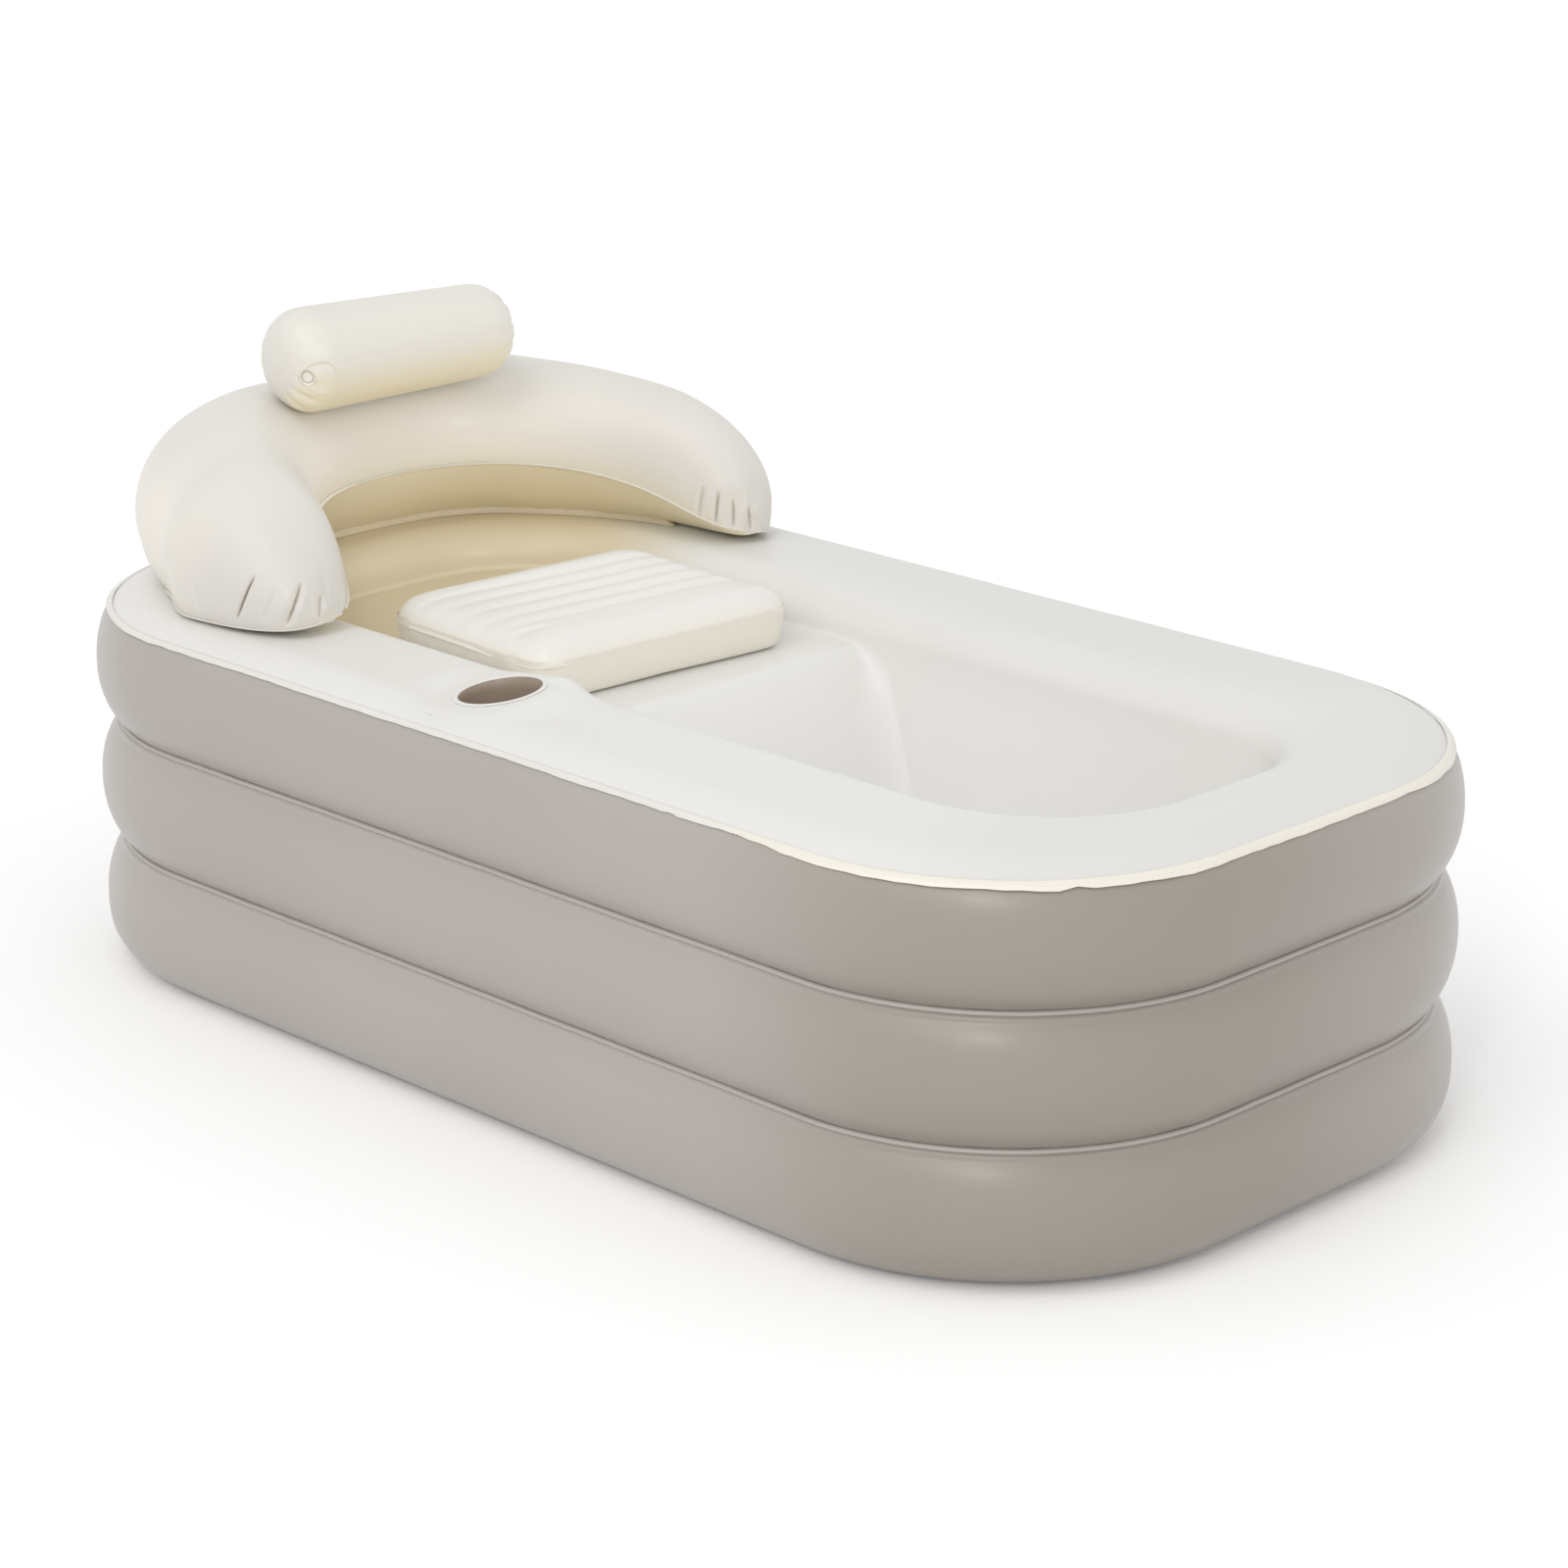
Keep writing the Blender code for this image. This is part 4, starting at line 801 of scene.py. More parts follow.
@dataclass(frozen=True)
class TubShape:
    """The plan and the profile of the tub, which its rings and its liner share."""

    half_length: float = 0.800
    half_width: float = 0.428
    end_straight_share: float = 0.304
    end_straight_closes: float = 0.342
    ground_inset: float = 0.043
    lower_crease_z: float = 0.148
    upper_crease_z: float = 0.289
    crease_inset: float = 0.026
    seam_z: float = 0.421
    seam_inset: float = 0.018
    deck_z: float = 0.437
    dome_inset: float = 0.066
    edge_inset: float = 0.168
    edge_radius: float = 0.044
    ease_inset: float = 0.182
    foot_ease: float = 0.060
    wall_foot_inset: float = 0.240
    floor_z: float = 0.055
    seat_z: float = 0.385
    seat_front_x: float = -0.045
    seat_foot_x: float = 0.150
    toe_radius: float = 0.060
    toe_room_share: float = 0.80
    bulge_power: float = 2.2
    shoulder_power: int = 6
    shoulder_share: float = 0.26
    corner_steps: int = 26
    end_steps: int = 10
    side_steps: int = 70
    part_steps: tuple = ((Part.DOME, 9), (Part.DECK, 24), (Part.EDGE, 14), (Part.WALL, 10), (Part.TOE, 14))

    def corner(self, inset: float) -> float:
        """Corner radius of the outline drawn in by an inset."""
        return self.half_width * (1 - self.end_straight_share * (1 - inset / self.end_straight_closes)) - inset

    def at_foot(self, inset: float) -> float:
        """Inset at the foot end, where the deck is a little narrower."""
        return inset - self.foot_ease * share_of(inset, self.dome_inset, self.ease_inset)

    def floor_at(self, x: float) -> float:
        """Height of the basin's floor at a place along it: the seat, its front slope, the floor."""
        share = share_of(x, self.seat_front_x, self.seat_foot_x)
        return self.seat_z + (self.floor_z - self.seat_z) * eased(share)

    def drawn_in(self, share: float, power: float) -> float:
        """How far a ring's side is drawn in, from 0 at its middle to 1 at a weld.

        Args:
            share: Height over the ring's middle, from -1 to 1.
            power: How square the side is.

        Returns:
            The share of the weld's inset.
        """
        soft = abs(share) ** power
        shoulder = 1 - math.sqrt(max(1 - abs(share) ** self.shoulder_power, 0))
        return soft + (shoulder - soft) * self.shoulder_share

    def loop(self, inset_at: Callable[[float], float], side_steps: int | None = None) -> np.ndarray:
        """Closed outline in plan, from the middle of the head end round the near side.

        Args:
            inset_at: The inset at a place along X.
            side_steps: Steps along a side, or the shape's own number.

        Returns:
            One row of X and Y for each point.
        """
        head, foot = inset_at(-self.half_length), inset_at(self.half_length)
        head_x, foot_x = head - self.half_length, self.half_length - self.at_foot(foot)
        head_r, foot_r = self.corner(head), self.corner(foot)
        head_y, foot_y = self.half_width - head - head_r, self.half_width - foot - foot_r
        steps = side_steps or self.side_steps
        halves = [(2 * step + 1) / (2 * self.end_steps) for step in range(self.end_steps)]
        near = [(head_x, -head_y * half) for half in halves]
        near += [(head_x + head_r + head_r * math.cos(angle), -head_y + head_r * math.sin(angle))
                 for angle in quarter_turn(self.corner_steps, math.pi)]
        for step in range(1, steps):
            x = head_x + head_r + (foot_x - foot_r - head_x - head_r) * step / steps
            near.append((x, inset_at(x) - self.half_width))
        near += [(foot_x - foot_r + foot_r * math.cos(angle), -foot_y + foot_r * math.sin(angle))
                 for angle in quarter_turn(self.corner_steps, 1.5 * math.pi)]
        near += [(foot_x, -foot_y * (1 - half)) for half in halves]
        return np.array(near + [(x, -y) for x, y in reversed(near)])

    def profile_point(self, part: Part, share: float, base: float) -> tuple[float, float]:
        """Inset and height on the liner's upper face.

        Args:
            part: The stretch of the profile.
            share: How far along that stretch, from 0 to 1.
            base: Height of the floor there.

        Returns:
            Inset and height.
        """
        sine, fall = math.sin(QUARTER * share), 1 - math.cos(QUARTER * share)
        if part is Part.DOME:
            return (self.seam_inset + (self.dome_inset - self.seam_inset) * share,
                    self.seam_z + (self.deck_z - self.seam_z) * sine)
        if part is Part.DECK:
            return self.dome_inset + (self.edge_inset - self.dome_inset) * share, self.deck_z
        if part is Part.EDGE:
            return self.edge_inset + self.edge_radius * sine, self.deck_z - self.edge_radius * fall
        wall_top = self.deck_z - self.edge_radius
        radius = min(self.toe_radius, self.toe_room_share * (wall_top - base))
        fallen = (wall_top - base - radius) / (wall_top - self.floor_z - self.toe_radius)
        top_inset = self.edge_inset + self.edge_radius
        toe_inset = top_inset + (self.wall_foot_inset - top_inset) * fallen
        if part is Part.WALL:
            return top_inset + (toe_inset - top_inset) * share, wall_top + (base + radius - wall_top) * share
        return toe_inset + radius * fall, base + radius * (1 - sine)

    def profile_rows(self) -> list[tuple[Part, float]]:
        """The stretch and the share along it for each row of the liner's profile, from seam to toe."""
        return [(Part.DOME, 0.0)] + [(part, step / steps) for part, steps in self.part_steps
                                     for step in range(1, steps + 1)]


TUB = TubShape()


@dataclass
class RingWall:
    """The three air rings: swollen film between welds, with small puckers along each crease."""

    shape: TubShape = TUB
    base: float = 1.5 * MM
    film_room: float = 3.5 * MM
    bulge_steps: int = 26
    ground_power: float = 2.8
    pucker: float = 0.55 * MM
    pucker_wave: float = 26 * MM
    pucker_reach: float = 15 * MM
    pucker_from: tuple = (0.45, 0.08)
    pucker_full: tuple = (0.60, 0.18)
    back_inset: float = 0.200
    inner_inset: float = 0.262
    inner_foot_z: float = 0.060
    seam_room: tuple = (0.4 * MM, 0.5 * MM)
    spine: tuple = (0.40, 0.10)
    ridge: float = 2.6 * MM
    ridge_fall: float = 4.6 * MM
    ridge_width: float = 2.6 * MM
    lip_reach: float = 3.6 * MM
    lip_width: float = 8.0 * MM
    lip_height: float = 6.2 * MM
    lip_drop: float = 1.1 * MM
    lip_sway: float = 0.4 * MM
    gap: float = 0.3 * MM

    def bulge(self, low: float, high: float, inset_low: float, inset_high: float,
              power: float) -> list[tuple[float, float, float]]:
        """Outer face of one ring.

        Args:
            low: Height of its lower weld.
            high: Height of its upper weld.
            inset_low: Inset of the lower weld.
            inset_high: Inset of the upper weld.
            power: How square the lower half is.

        Returns:
            Inset, height and how near the closest weld is, from 0 to 1.
        """
        middle, half = (low + high) / 2, (high - low) / 2
        points = []
        for step in range(-self.bulge_steps, self.bulge_steps + 1):
            share = math.sin(QUARTER * step / self.bulge_steps)
            lower = share < 0
            inset = (inset_low if lower else inset_high) * self.shape.drawn_in(
                share, power if lower else self.shape.bulge_power)
            if share > 0 and high < self.shape.upper_crease_z:
                # The film stands up in a thin ridge just under a crease
                inset -= self.ridge * bump_at(half * (1 - share) - self.ridge_fall, self.ridge_width)
            on_ground = lower and low == self.base
            near = 0.0 if on_ground else bump_at(half * (1 - abs(share)), self.pucker_reach)
            points.append((inset, middle + half * share, near))
        return points

    def inner(self, low: float, high: float) -> list[tuple[float, float, float]]:
        """Inner face of a ring between two heights, under the liner, from the top down.

        Args:
            low: The lower height.
            high: The upper height.

        Returns:
            Inset, height and 0 for each point, as no weld is near.
        """
        rows = [self.shape.profile_point(part, share, self.shape.floor_z)
                for part, share in self.shape.profile_rows()]
        made = []
        for index, (inset, height) in enumerate(rows):
            before, after = rows[max(index - 1, 0)], rows[min(index + 1, len(rows) - 1)]
            run = Vector((after[0] - before[0], after[1] - before[1])).normalized()
            inset += run.y * self.film_room
            height -= run.x * self.film_room
            if low + self.gap < height < high - self.gap and inset < self.inner_inset - self.gap:
                made.append((inset, height, 0.0))
        return made

    def build_ring(self, name: str, section: list[tuple[float, float, float]]) -> Object:
        """Carry one section round the tub and pucker it along its welds.

        Args:
            name: The CAD node that the ring replaces.
            section: Inset, height and closeness to a weld.

        Returns:
            The ring, not yet carved.
        """
        rows = []
        spine = np.array(self.spine)
        for inset, height, near in section:
            plan = self.shape.loop(lambda _x, inset=inset: inset)
            if near > 0.01:
                out = plan - np.clip(plan, -spine, spine)
                out /= np.linalg.norm(out, axis=1)[:, None]
                depth = np.array([self.crease_pull(along, point) for along, point in zip(distances(plan), plan)])
                plan = plan + out * (depth * near)[:, None]
            rows.append(np.column_stack([plan, np.full(len(plan), height)]))
        return skinned(name.replace("ring", "air_ring"), rows, TAUPE_FILM, closed=True)

    def crease_pull(self, along: float, point: np.ndarray) -> float:
        """Depth of the puckers at a place along a weld: deeper round the corners.

        Args:
            along: Distance along the weld.
            point: X and Y of the place.

        Returns:
            The depth.
        """
        corner = math.prod(share_of(abs(value), start, full)
                           for value, start, full in zip(point, self.pucker_from, self.pucker_full))
        size = self.pucker * (0.35 + 0.65 * corner)
        return size * (waves(along, self.pucker_wave, 1) + 0.5 * waves(along, self.pucker_wave / 2.3, 2))

    def build(self, recesses: dict[str, list[Object]]) -> None:
        """Build the three rings and the lip of film in each crease.

        Args:
            recesses: Cutters for each CAD ring's recesses.
        """
        shape, back, half = self.shape, self.back_inset, self.gap / 2
        low, high = shape.lower_crease_z, shape.upper_crease_z
        sections = {
            "lower_ring": self.bulge(self.base, low - half, shape.ground_inset, shape.crease_inset, self.ground_power)
            + [(back, low - half, 0.0)] + self.inner(0, low)
            + [(self.inner_inset, self.inner_foot_z, 0.0), (self.inner_inset, self.base, 0.0)],
            "middle_ring": self.bulge(low + half, high - half, shape.crease_inset, shape.crease_inset,
                                      shape.bulge_power)
            + [(back, high - half, 0.0)] + self.inner(low, high) + [(back, low + half, 0.0)],
            "upper_ring": self.bulge(high + half, shape.seam_z - self.seam_room[1], shape.crease_inset,
                                     shape.seam_inset + self.seam_room[0], shape.bulge_power)
            + self.inner(high, shape.deck_z) + [(back, high + half, 0.0)]}
        for name, section in sections.items():
            kept(carve(self.build_ring(name, section), recesses[name]), "taupe_film", name)
        lips = lip_tree(CREASE_FILM)
        plan = shape.loop(lambda _x: shape.crease_inset - self.lip_reach, 120)
        for name, height in (("lower", low), ("upper", high)):
            path = [Vector((x, y, height - self.lip_drop + self.lip_sway * waves(along, 0.05, 9)))
                    for (x, y), along in zip(plan, distances(plan))]
            kept(grown(f"{name}_crease_lip", path, lips, Width=self.lip_width, Thickness=self.lip_height,
                       Spacing=8 * MM), "taupe_film", beside="lower_ring")


@dataclass(frozen=True)
class CupTilt:
    """How the cup holder's mouth leans: its inner side is lifted, its outer side dips."""

    x: float = -0.052
    y: float = -0.308
    lean: float = 0.150
    lean_x: float = 0.7085
    lean_y: float = 0.7057
    lift: float = 3.0 * MM
    mouth: float = 0.0445
    hold: float = 0.060
    fade: float = 0.046

    def at(self, x: float, y: float) -> float:
        """Height of the leaning plane over the deck at a place."""
        return self.lift + self.lean * ((x - self.x) * self.lean_x + (y - self.y) * self.lean_y)

    def pull(self, x: float, y: float) -> float:
        """Lift of the deck film round the mouth, which fades out across the deck."""
        away = math.hypot(x - self.x, y - self.y)
        return self.at(x, y) * (1 - eased(share_of(away, self.hold, self.hold + self.fade)))


CUP = CupTilt()


@dataclass
class Liner:
    """The one white film over the deck, the inner wall, the seat and the floor."""

    shape: TubShape = TUB
    thickness: float = 0.9 * MM
    side_steps: int = 150
    floor_steps: int = 16
    spine_head_x: float = -0.42
    spine_foot_x: float = 0.40
    sway: float = 0.5 * MM
    sway_rate: float = 9.0
    fold_run: tuple[float, float] = (0.86, 0.51)
    # Two folds run from the cup's lifted side: X, Y, start, height, width and length of each
    folds: tuple = ((-0.024, -0.262, 0.016, 3.4 * MM, 9 * MM, 30 * MM),
                    (0.030, -0.245, 0.0, 1.5 * MM, 7 * MM, 20 * MM))

    def deck_lift(self, x: float, y: float, part: Part) -> float:
        """How far the film stands above its plain profile.

        Args:
            x: Place along the tub.
            y: Place across it.
            part: The stretch of the profile.

        Returns:
            The lift.
        """
        if part in (Part.WALL, Part.TOE):
            return 0.0
        lift = CUP.pull(x, y)
        run_x, run_y = self.fold_run
        for fold_x, fold_y, start, height, width, length in self.folds:
            along = (x - fold_x) * run_x + (y - fold_y) * run_y
            across = (y - fold_y) * run_x - (x - fold_x) * run_y
            lift += height * bump_at(across, width) * bump_at(along - start, length)
        if part is Part.DECK:
            lift += self.sway * noise.noise(Vector((x * self.sway_rate, y * self.sway_rate, 2.0)))
        return lift

    def rows(self) -> list[np.ndarray]:
        """Rows of points from the top seam to the spine of the floor.

        Returns:
            One array of points for each row.
        """
        made = []
        for part, share in self.shape.profile_rows():
            def profile(x: float, part: Part = part, share: float = share) -> tuple[float, float]:
                """Inset and height of this row at a place along the tub."""
                return self.shape.profile_point(part, share, self.shape.floor_at(x))

            plan = self.shape.loop(lambda x: profile(x)[0], self.side_steps)
            made.append(np.column_stack([plan, [profile(x)[1] + self.deck_lift(x, y, part) for x, y in plan]]))
        toe = made[-1]
        spine_x = np.clip(toe[:, 0], self.spine_head_x, self.spine_foot_x)
        for step in range(1, self.floor_steps + 1):
            share = step / self.floor_steps
            x = toe[:, 0] + (spine_x - toe[:, 0]) * share
            made.append(np.column_stack([x, toe[:, 1] * (1 - share), [self.shape.floor_at(place) for place in x]]))
        return made

    def build(self, cutters: list[Object]) -> None:
        """Build the film and cut the cup mouth, valve and drain holes out of it.

        Args:
            cutters: Closed bodies for the holes.
        """
        film = skinned("bowl_liner", self.rows(), LINER_FILM, facing=UP)
        wall = film.modifiers.new("Film", "SOLIDIFY")
        wall.thickness = self.thickness
        wall.offset = -1
        kept(carve(baked(film), cutters), "white_film", "inner_liner")


@dataclass
class WeldedRim:
    """The edge of the deck film, pressed onto the top ring and unevenly cut."""

    shape: TubShape = TUB
    steps: int = 300
    drop: float = 6.0 * MM
    side_drop: float = 3.0 * MM
    foot_from: float = 0.25
    foot_full: float = 0.60
    uneven: float = 0.30
    thickness: float = 1.0 * MM
    overlap: float = 3.0 * MM
    rib_fall: float = 2.4 * MM
    rib_stand: float = 1.2 * MM
    # Share of the strip's width, and how many thicknesses it stands off there
    section: tuple = ((-1.0, 0.25), (-0.5, 0.7), (0.0, 1.0), (0.45, 1.15), (0.85, 1.35), (1.0, 1.1), (0.97, 0.5),
                      (0.5, -0.2), (0.0, -0.4), (-0.5, -0.6), (-1.0, -0.8))

    def ring_inset(self, fall: float) -> float:
        """Inset of the top ring's face at a fall below the seam."""
        share = 1 - fall / ((self.shape.seam_z - self.shape.upper_crease_z) / 2)
        return self.shape.seam_inset * self.shape.drawn_in(share, self.shape.bulge_power)

    def cut(self, along: float) -> float:
        """Unevenness of the cut edge at a place, with a few nicks."""
        nick = max(waves(along, 0.034, 6) - 0.62, 0) * 3.0
        return waves(along, 0.12, 3) + 0.45 * waves(along, 0.021, 4) - nick

    def inward(self, point: np.ndarray, inset: float) -> tuple[float, float]:
        """Move a point of the tub's outline inwards.

        Args:
            point: X and Y on the outline.
            inset: How far.

        Returns:
            X and Y of the new place.
        """
        half = np.array((self.shape.half_length, self.shape.half_width))
        room = half - self.shape.corner(0)
        out = point - np.clip(point, -room, room)
        out /= np.linalg.norm(out)
        return tuple(point - out * inset)

    def stand_off(self, fall: float, stand: float) -> tuple[float, float]:
        """Place of the strip over the ring's side below the seam, or over the deck's dome above it.

        Args:
            fall: How far below the seam.
            stand: Thicknesses that it stands off.

        Returns:
            Inset and height over the seam.
        """
        stand *= self.thickness
        if fall >= 0:
            return self.ring_inset(fall) - stand, max(stand, 0) * 0.4 - fall
        shape = self.shape
        dome = -fall / (shape.dome_inset - shape.seam_inset)
        return (shape.seam_inset - fall - stand * 0.4,
                (shape.deck_z - shape.seam_z) * math.sin(QUARTER * dome) + stand * 0.6)

    def build(self) -> None:
        """Build the strip and the ribs that the weld tool pressed into it."""
        seam_z = self.shape.seam_z
        base = self.shape.loop(lambda _x: 0.0, self.steps)
        foot = eased(np.clip((base[:, 0] - self.foot_from) / (self.foot_full - self.foot_from), 0, 1))
        falls = [drop * (1 + self.uneven * self.cut(along)) for drop, along
                 in zip(self.side_drop + (self.drop - self.side_drop) * foot, distances(base))]
        rows = []
        for share, stand in self.section:
            row = []
            for point, fall in zip(base, falls):
                inset, rise = self.stand_off(share * (fall if share > 0 else self.overlap), stand)
                row.append((*self.inward(point, inset), seam_z + rise))
            rows.append(row)
        kept(skinned("rim_weld_strip", rows, WELD_FILM, closed=True), "cream_film", "rim_weld_bead")
        inset = self.ring_inset(self.rib_fall) - self.rib_stand
        path = [Vector((*self.inward(point, inset), seam_z - 2.2 * MM)) for point in base]
        ribs = grown("rim_weld_ribs", path, rib_tree(WELD_FILM), Spacing=5 * MM, Length=2.6 * MM, Width=1.0 * MM,
                     Height=0.6 * MM)
        kept(ribs, "cream_film", beside="rim_weld_bead")


@dataclass
class Chambers:
    """The air blocks under the seat and the floor, and the sheet under the tub."""

    shape: TubShape = TUB
    room: float = 3.5 * MM
    base: float = 1.5 * MM
    corner: float = 0.060
    corner_steps: int = 16
    levels: int = 20
    low_inset: float = 0.263
    low_z: float = 0.10
    wall_room: float = 14 * MM
    floor_inset: float = 0.2645
    floor_low_z: float = 0.010
    floor_edge: float = 8 * MM
    floor_middle: tuple = (0.36, 0.0)

    def outline(self, inset: float, head_x: float, foot_x: float, head_r: float, foot_r: float) -> np.ndarray:
        """Rounded rectangle in plan with unlike corners at its two ends.

        Args:
            inset: How far its sides lie inside the tub's.
            head_x: Where it begins.
            foot_x: Where it ends.
            head_r: Radius of the two corners at the head.
            foot_r: Radius of the two corners at the foot.

        Returns:
            One row of X and Y for each point.
        """
        half_y = self.shape.half_width - inset
        corners = ((head_x + head_r, head_r - half_y, head_r, math.pi),
                   (foot_x - foot_r, foot_r - half_y, foot_r, 3 * QUARTER),
                   (foot_x - foot_r, half_y - foot_r, foot_r, 0.0),
                   (head_x + head_r, half_y - head_r, head_r, QUARTER))
        return np.array([(x + radius * math.cos(angle), y + radius * math.sin(angle))
                         for x, y, radius, start in corners for angle in quarter_turn(self.corner_steps, start)])

    def front_at(self, height: float) -> float:
        """Where the seat block ends at a height, just inside the liner's front slope.

        Args:
            height: The height.

        Returns:
            Place along X.
        """
        shape = self.shape
        if height < shape.floor_z:
            return shape.seat_foot_x - 1 * MM
        low, high = shape.seat_front_x, shape.seat_foot_x
        for _ in range(30):
            middle = (low + high) / 2
            low, high = (middle, high) if shape.floor_at(middle) > height + self.room else (low, middle)
        return low - 2 * MM

    def stacked(self, name: str, plans: list[tuple[np.ndarray, float]], recess: list[Object], node: str) -> None:
        """Skin through flat outlines at heights and let the valve into the block."""
        loops = [np.column_stack([plan, np.full(len(plan), height)]) for plan, height in plans]
        kept(carve(skinned(name, loops, WHITE_FILM, capped=True), recess), "white_film", node)

    def build(self, recesses: dict[str, list[Object]]) -> None:
        """Build both blocks and dress the sheet.

        Args:
            recesses: Cutters of each block's valve recess.
        """
        shape = self.shape
        wall = shape.profile_point(Part.WALL, 0.5, shape.floor_z)[0] + self.wall_room
        plans = []
        for step in range(self.levels):
            height = self.base + (shape.seat_z - self.room - self.base) * step / (self.levels - 1)
            inset = self.low_inset if height < self.low_z else wall
            plans.append((self.outline(inset, inset - shape.half_length, self.front_at(height), shape.corner(inset),
                                       self.corner), height))
        self.stacked("seat_air_block", plans, recesses["seat"], "seat_chamber")
        inset, top = self.floor_inset, shape.floor_z - self.room
        plan = self.outline(inset, shape.seat_foot_x + 2 * MM, shape.half_length - shape.at_foot(inset), self.corner,
                            shape.corner(inset))
        small = plan + (np.array(self.floor_middle) - plan) * 0.02
        self.stacked("floor_air_block", [(small, self.base), (plan, self.floor_low_z), (plan, top - self.floor_edge),
                                         (small, top)], recesses["floor"], "floor_chamber")
        sheet = frame["nodes"]["bottom_sheet"].data
        sheet.materials.clear()
        sheet.materials.append(TAUPE_FILM.material())


@dataclass
class CupHolder:
    """The cup holder: a lining, brown with painted shade, let into the deck and the white welded flange round its
    mouth.
    """

    tilt: CupTilt = CUP
    deck_z: float = TUB.deck_z
    depth: float = 0.095
    floor_radius: float = 0.040
    floor_round: float = 6 * MM
    floor_lean: float = 0.05
    wall: float = 1.3 * MM
    wall_steps: int = 8
    flange_width: float = 5.5 * MM
    flange_height: float = 1.3 * MM
    flange_base: float = 0.4 * MM
    flange_foot: float = 0.3 * MM
    segments: int = 96

    def rings(self, profile: Sequence[tuple[float, float, float]]) -> list[list[Vector]]:
        """Rings of points that follow the leaning mouth by a share.

        Args:
            profile: Radius, height over the deck and share of the lean for each ring.

        Returns:
            The rings.
        """
        made = []
        for radius, height, lean in profile:
            plan = [(self.tilt.x + radius * math.cos(angle), self.tilt.y + radius * math.sin(angle))
                    for angle in full_turn(self.segments)]
            made.append([Vector((x, y, self.deck_z + height + lean * self.tilt.at(x, y))) for x, y in plan])
        return made

    def mouth_cutter(self) -> Object:
        """The body that opens the liner for the cup.

        Returns:
            The closed body.
        """
        radius, reach = self.tilt.mouth + 2.2 * MM, 0.03
        return skinned("cup mouth cutter", self.rings(((0.0, -reach, 1), (radius, -reach, 1), (radius, reach, 1),
                                                       (0.0, reach, 1))), WHITE_FILM)

    def well_cutter(self) -> Object:
        """The body that makes room for the cup in the top ring.

        Returns:
            The closed body.
        """
        radius, foot = self.tilt.mouth + 3 * MM, -self.depth - 1 * MM
        dish = self.tilt.hold + self.tilt.fade + 6 * MM
        return turned("cup well cutter", [(0, foot), (radius, foot), (radius, -0.012), (dish, -0.007), (dish, 0.03),
                                          (0, 0.03)], Matrix.Translation((self.tilt.x, self.tilt.y, self.deck_z)))

    def build(self) -> None:
        """Build the lining and the flange."""
        mouth, floor, lean = self.tilt.mouth, self.floor_radius, self.floor_lean
        base, bend = self.wall - self.depth, self.floor_round
        profile = [(0.0, base, lean), (floor * 0.5, base, lean)]
        profile += [(floor - bend * (1 - math.sin(angle)), base + bend * (1 - math.cos(angle)), lean)
                    for angle in quarter_turn(6)]
        for step in range(1, self.wall_steps + 1):
            share = step / self.wall_steps
            profile.append((floor + (mouth - floor) * share, (base + bend) * (1 - share),
                            lean + (1 - lean) * share ** 2))
        profile += [(mouth + self.wall * 0.5, 0.7 * MM, 1), (mouth + self.wall, 0.0, 1),
                    (floor + self.wall, -self.depth, lean), (0.0, -self.depth, lean)]
        kept(skinned("cup_lining", self.rings(profile), CUP_FILM), "cup_film", "cup_sleeve")
        inner, width = mouth + 0.2 * MM, self.flange_width
        profile = []
        for step in range(13):
            angle = math.pi * step / 12
            profile.append((inner + width * (1 - math.cos(angle)) / 2,
                            self.flange_base + self.flange_height * math.sin(angle) ** 0.7, 1))
        profile += [(inner + width * 0.7, self.flange_foot, 1), (inner + 1 * MM, self.flange_foot, 1)]
        flange = skinned("cup_welded_flange", self.rings(profile), WHITE_FILM, closed=True)
        kept(flange, "white_film", "cup_flange")


# The backrest, neck roll and cushion


@dataclass(frozen=True)
class Pleat:
    """One fold in a film: where it runs, how deep and wide it is, and how dark its painted shade is."""

    start: tuple[float, float, float]
    end: tuple[float, float, float]
    depth: float
    width: float
    # Strength of the painted shade in the fold
    painted_shade: float = 0.0
    path: tuple[Vector, ...] = ()

    def laid(self, surface: BVHTree) -> "Pleat":
        """The same fold, with a path that follows a surface."""
        run = [Vector(self.start).lerp(Vector(self.end), step / 10) for step in range(11)]
        return replace(self, path=tuple(surface.find_nearest(place)[0] for place in run))

    def measure(self, place: Vector) -> tuple[float, float]:
        """Distance of a place from the fold and the share along the fold where it is nearest.

        Args:
            place: The place.

        Returns:
            Distance and share.
        """
        best = (math.inf, 0.0)
        for index, (first, last) in enumerate(zip(self.path, self.path[1:])):
            run = last - first
            share = share_of((place - first).dot(run), 0, run.length_squared)
            best = min(best, ((place - first - run * share).length, (index + share) / (len(self.path) - 1)))
        return best

    def dent(self, place: Vector) -> float:
        """How far the film is drawn in, with a little swell beside the fold.

        Args:
            place: The place.

        Returns:
            The depth.
        """
        away, share = self.measure(place)
        crease = 0.70 * bump_at(away, self.width) + 0.30 * bump_at(away, 3.5 * self.width)
        ridge = 0.16 * bump_at(away - 4.5 * self.width, 2 * self.width)
        return (1 - abs(2 * share - 1) ** 4) * self.depth * (crease - ridge)

    def shadow(self, place: Vector) -> float:
        """How much painted shade the film gets at a place, for the two layers that meet in the fold."""
        away, share = self.measure(place)
        return self.painted_shade * (1 - abs(2 * share - 1) ** 3) * bump_at(away, 0.85 * self.width)


@dataclass(frozen=True)
class Arm:
    """The sizes in which the backrest's two arms differ."""

    length: float
    tip_inset: float
    side_inset: float
    tip_seam_rise: float
    tip_height_power: float


ARMS = {Side.NEAR: Arm(0.157, 0.445, 0.196, 0.040, 2.0), Side.FAR: Arm(0.227, 0.492, 0.180, 0.026, 2.7)}


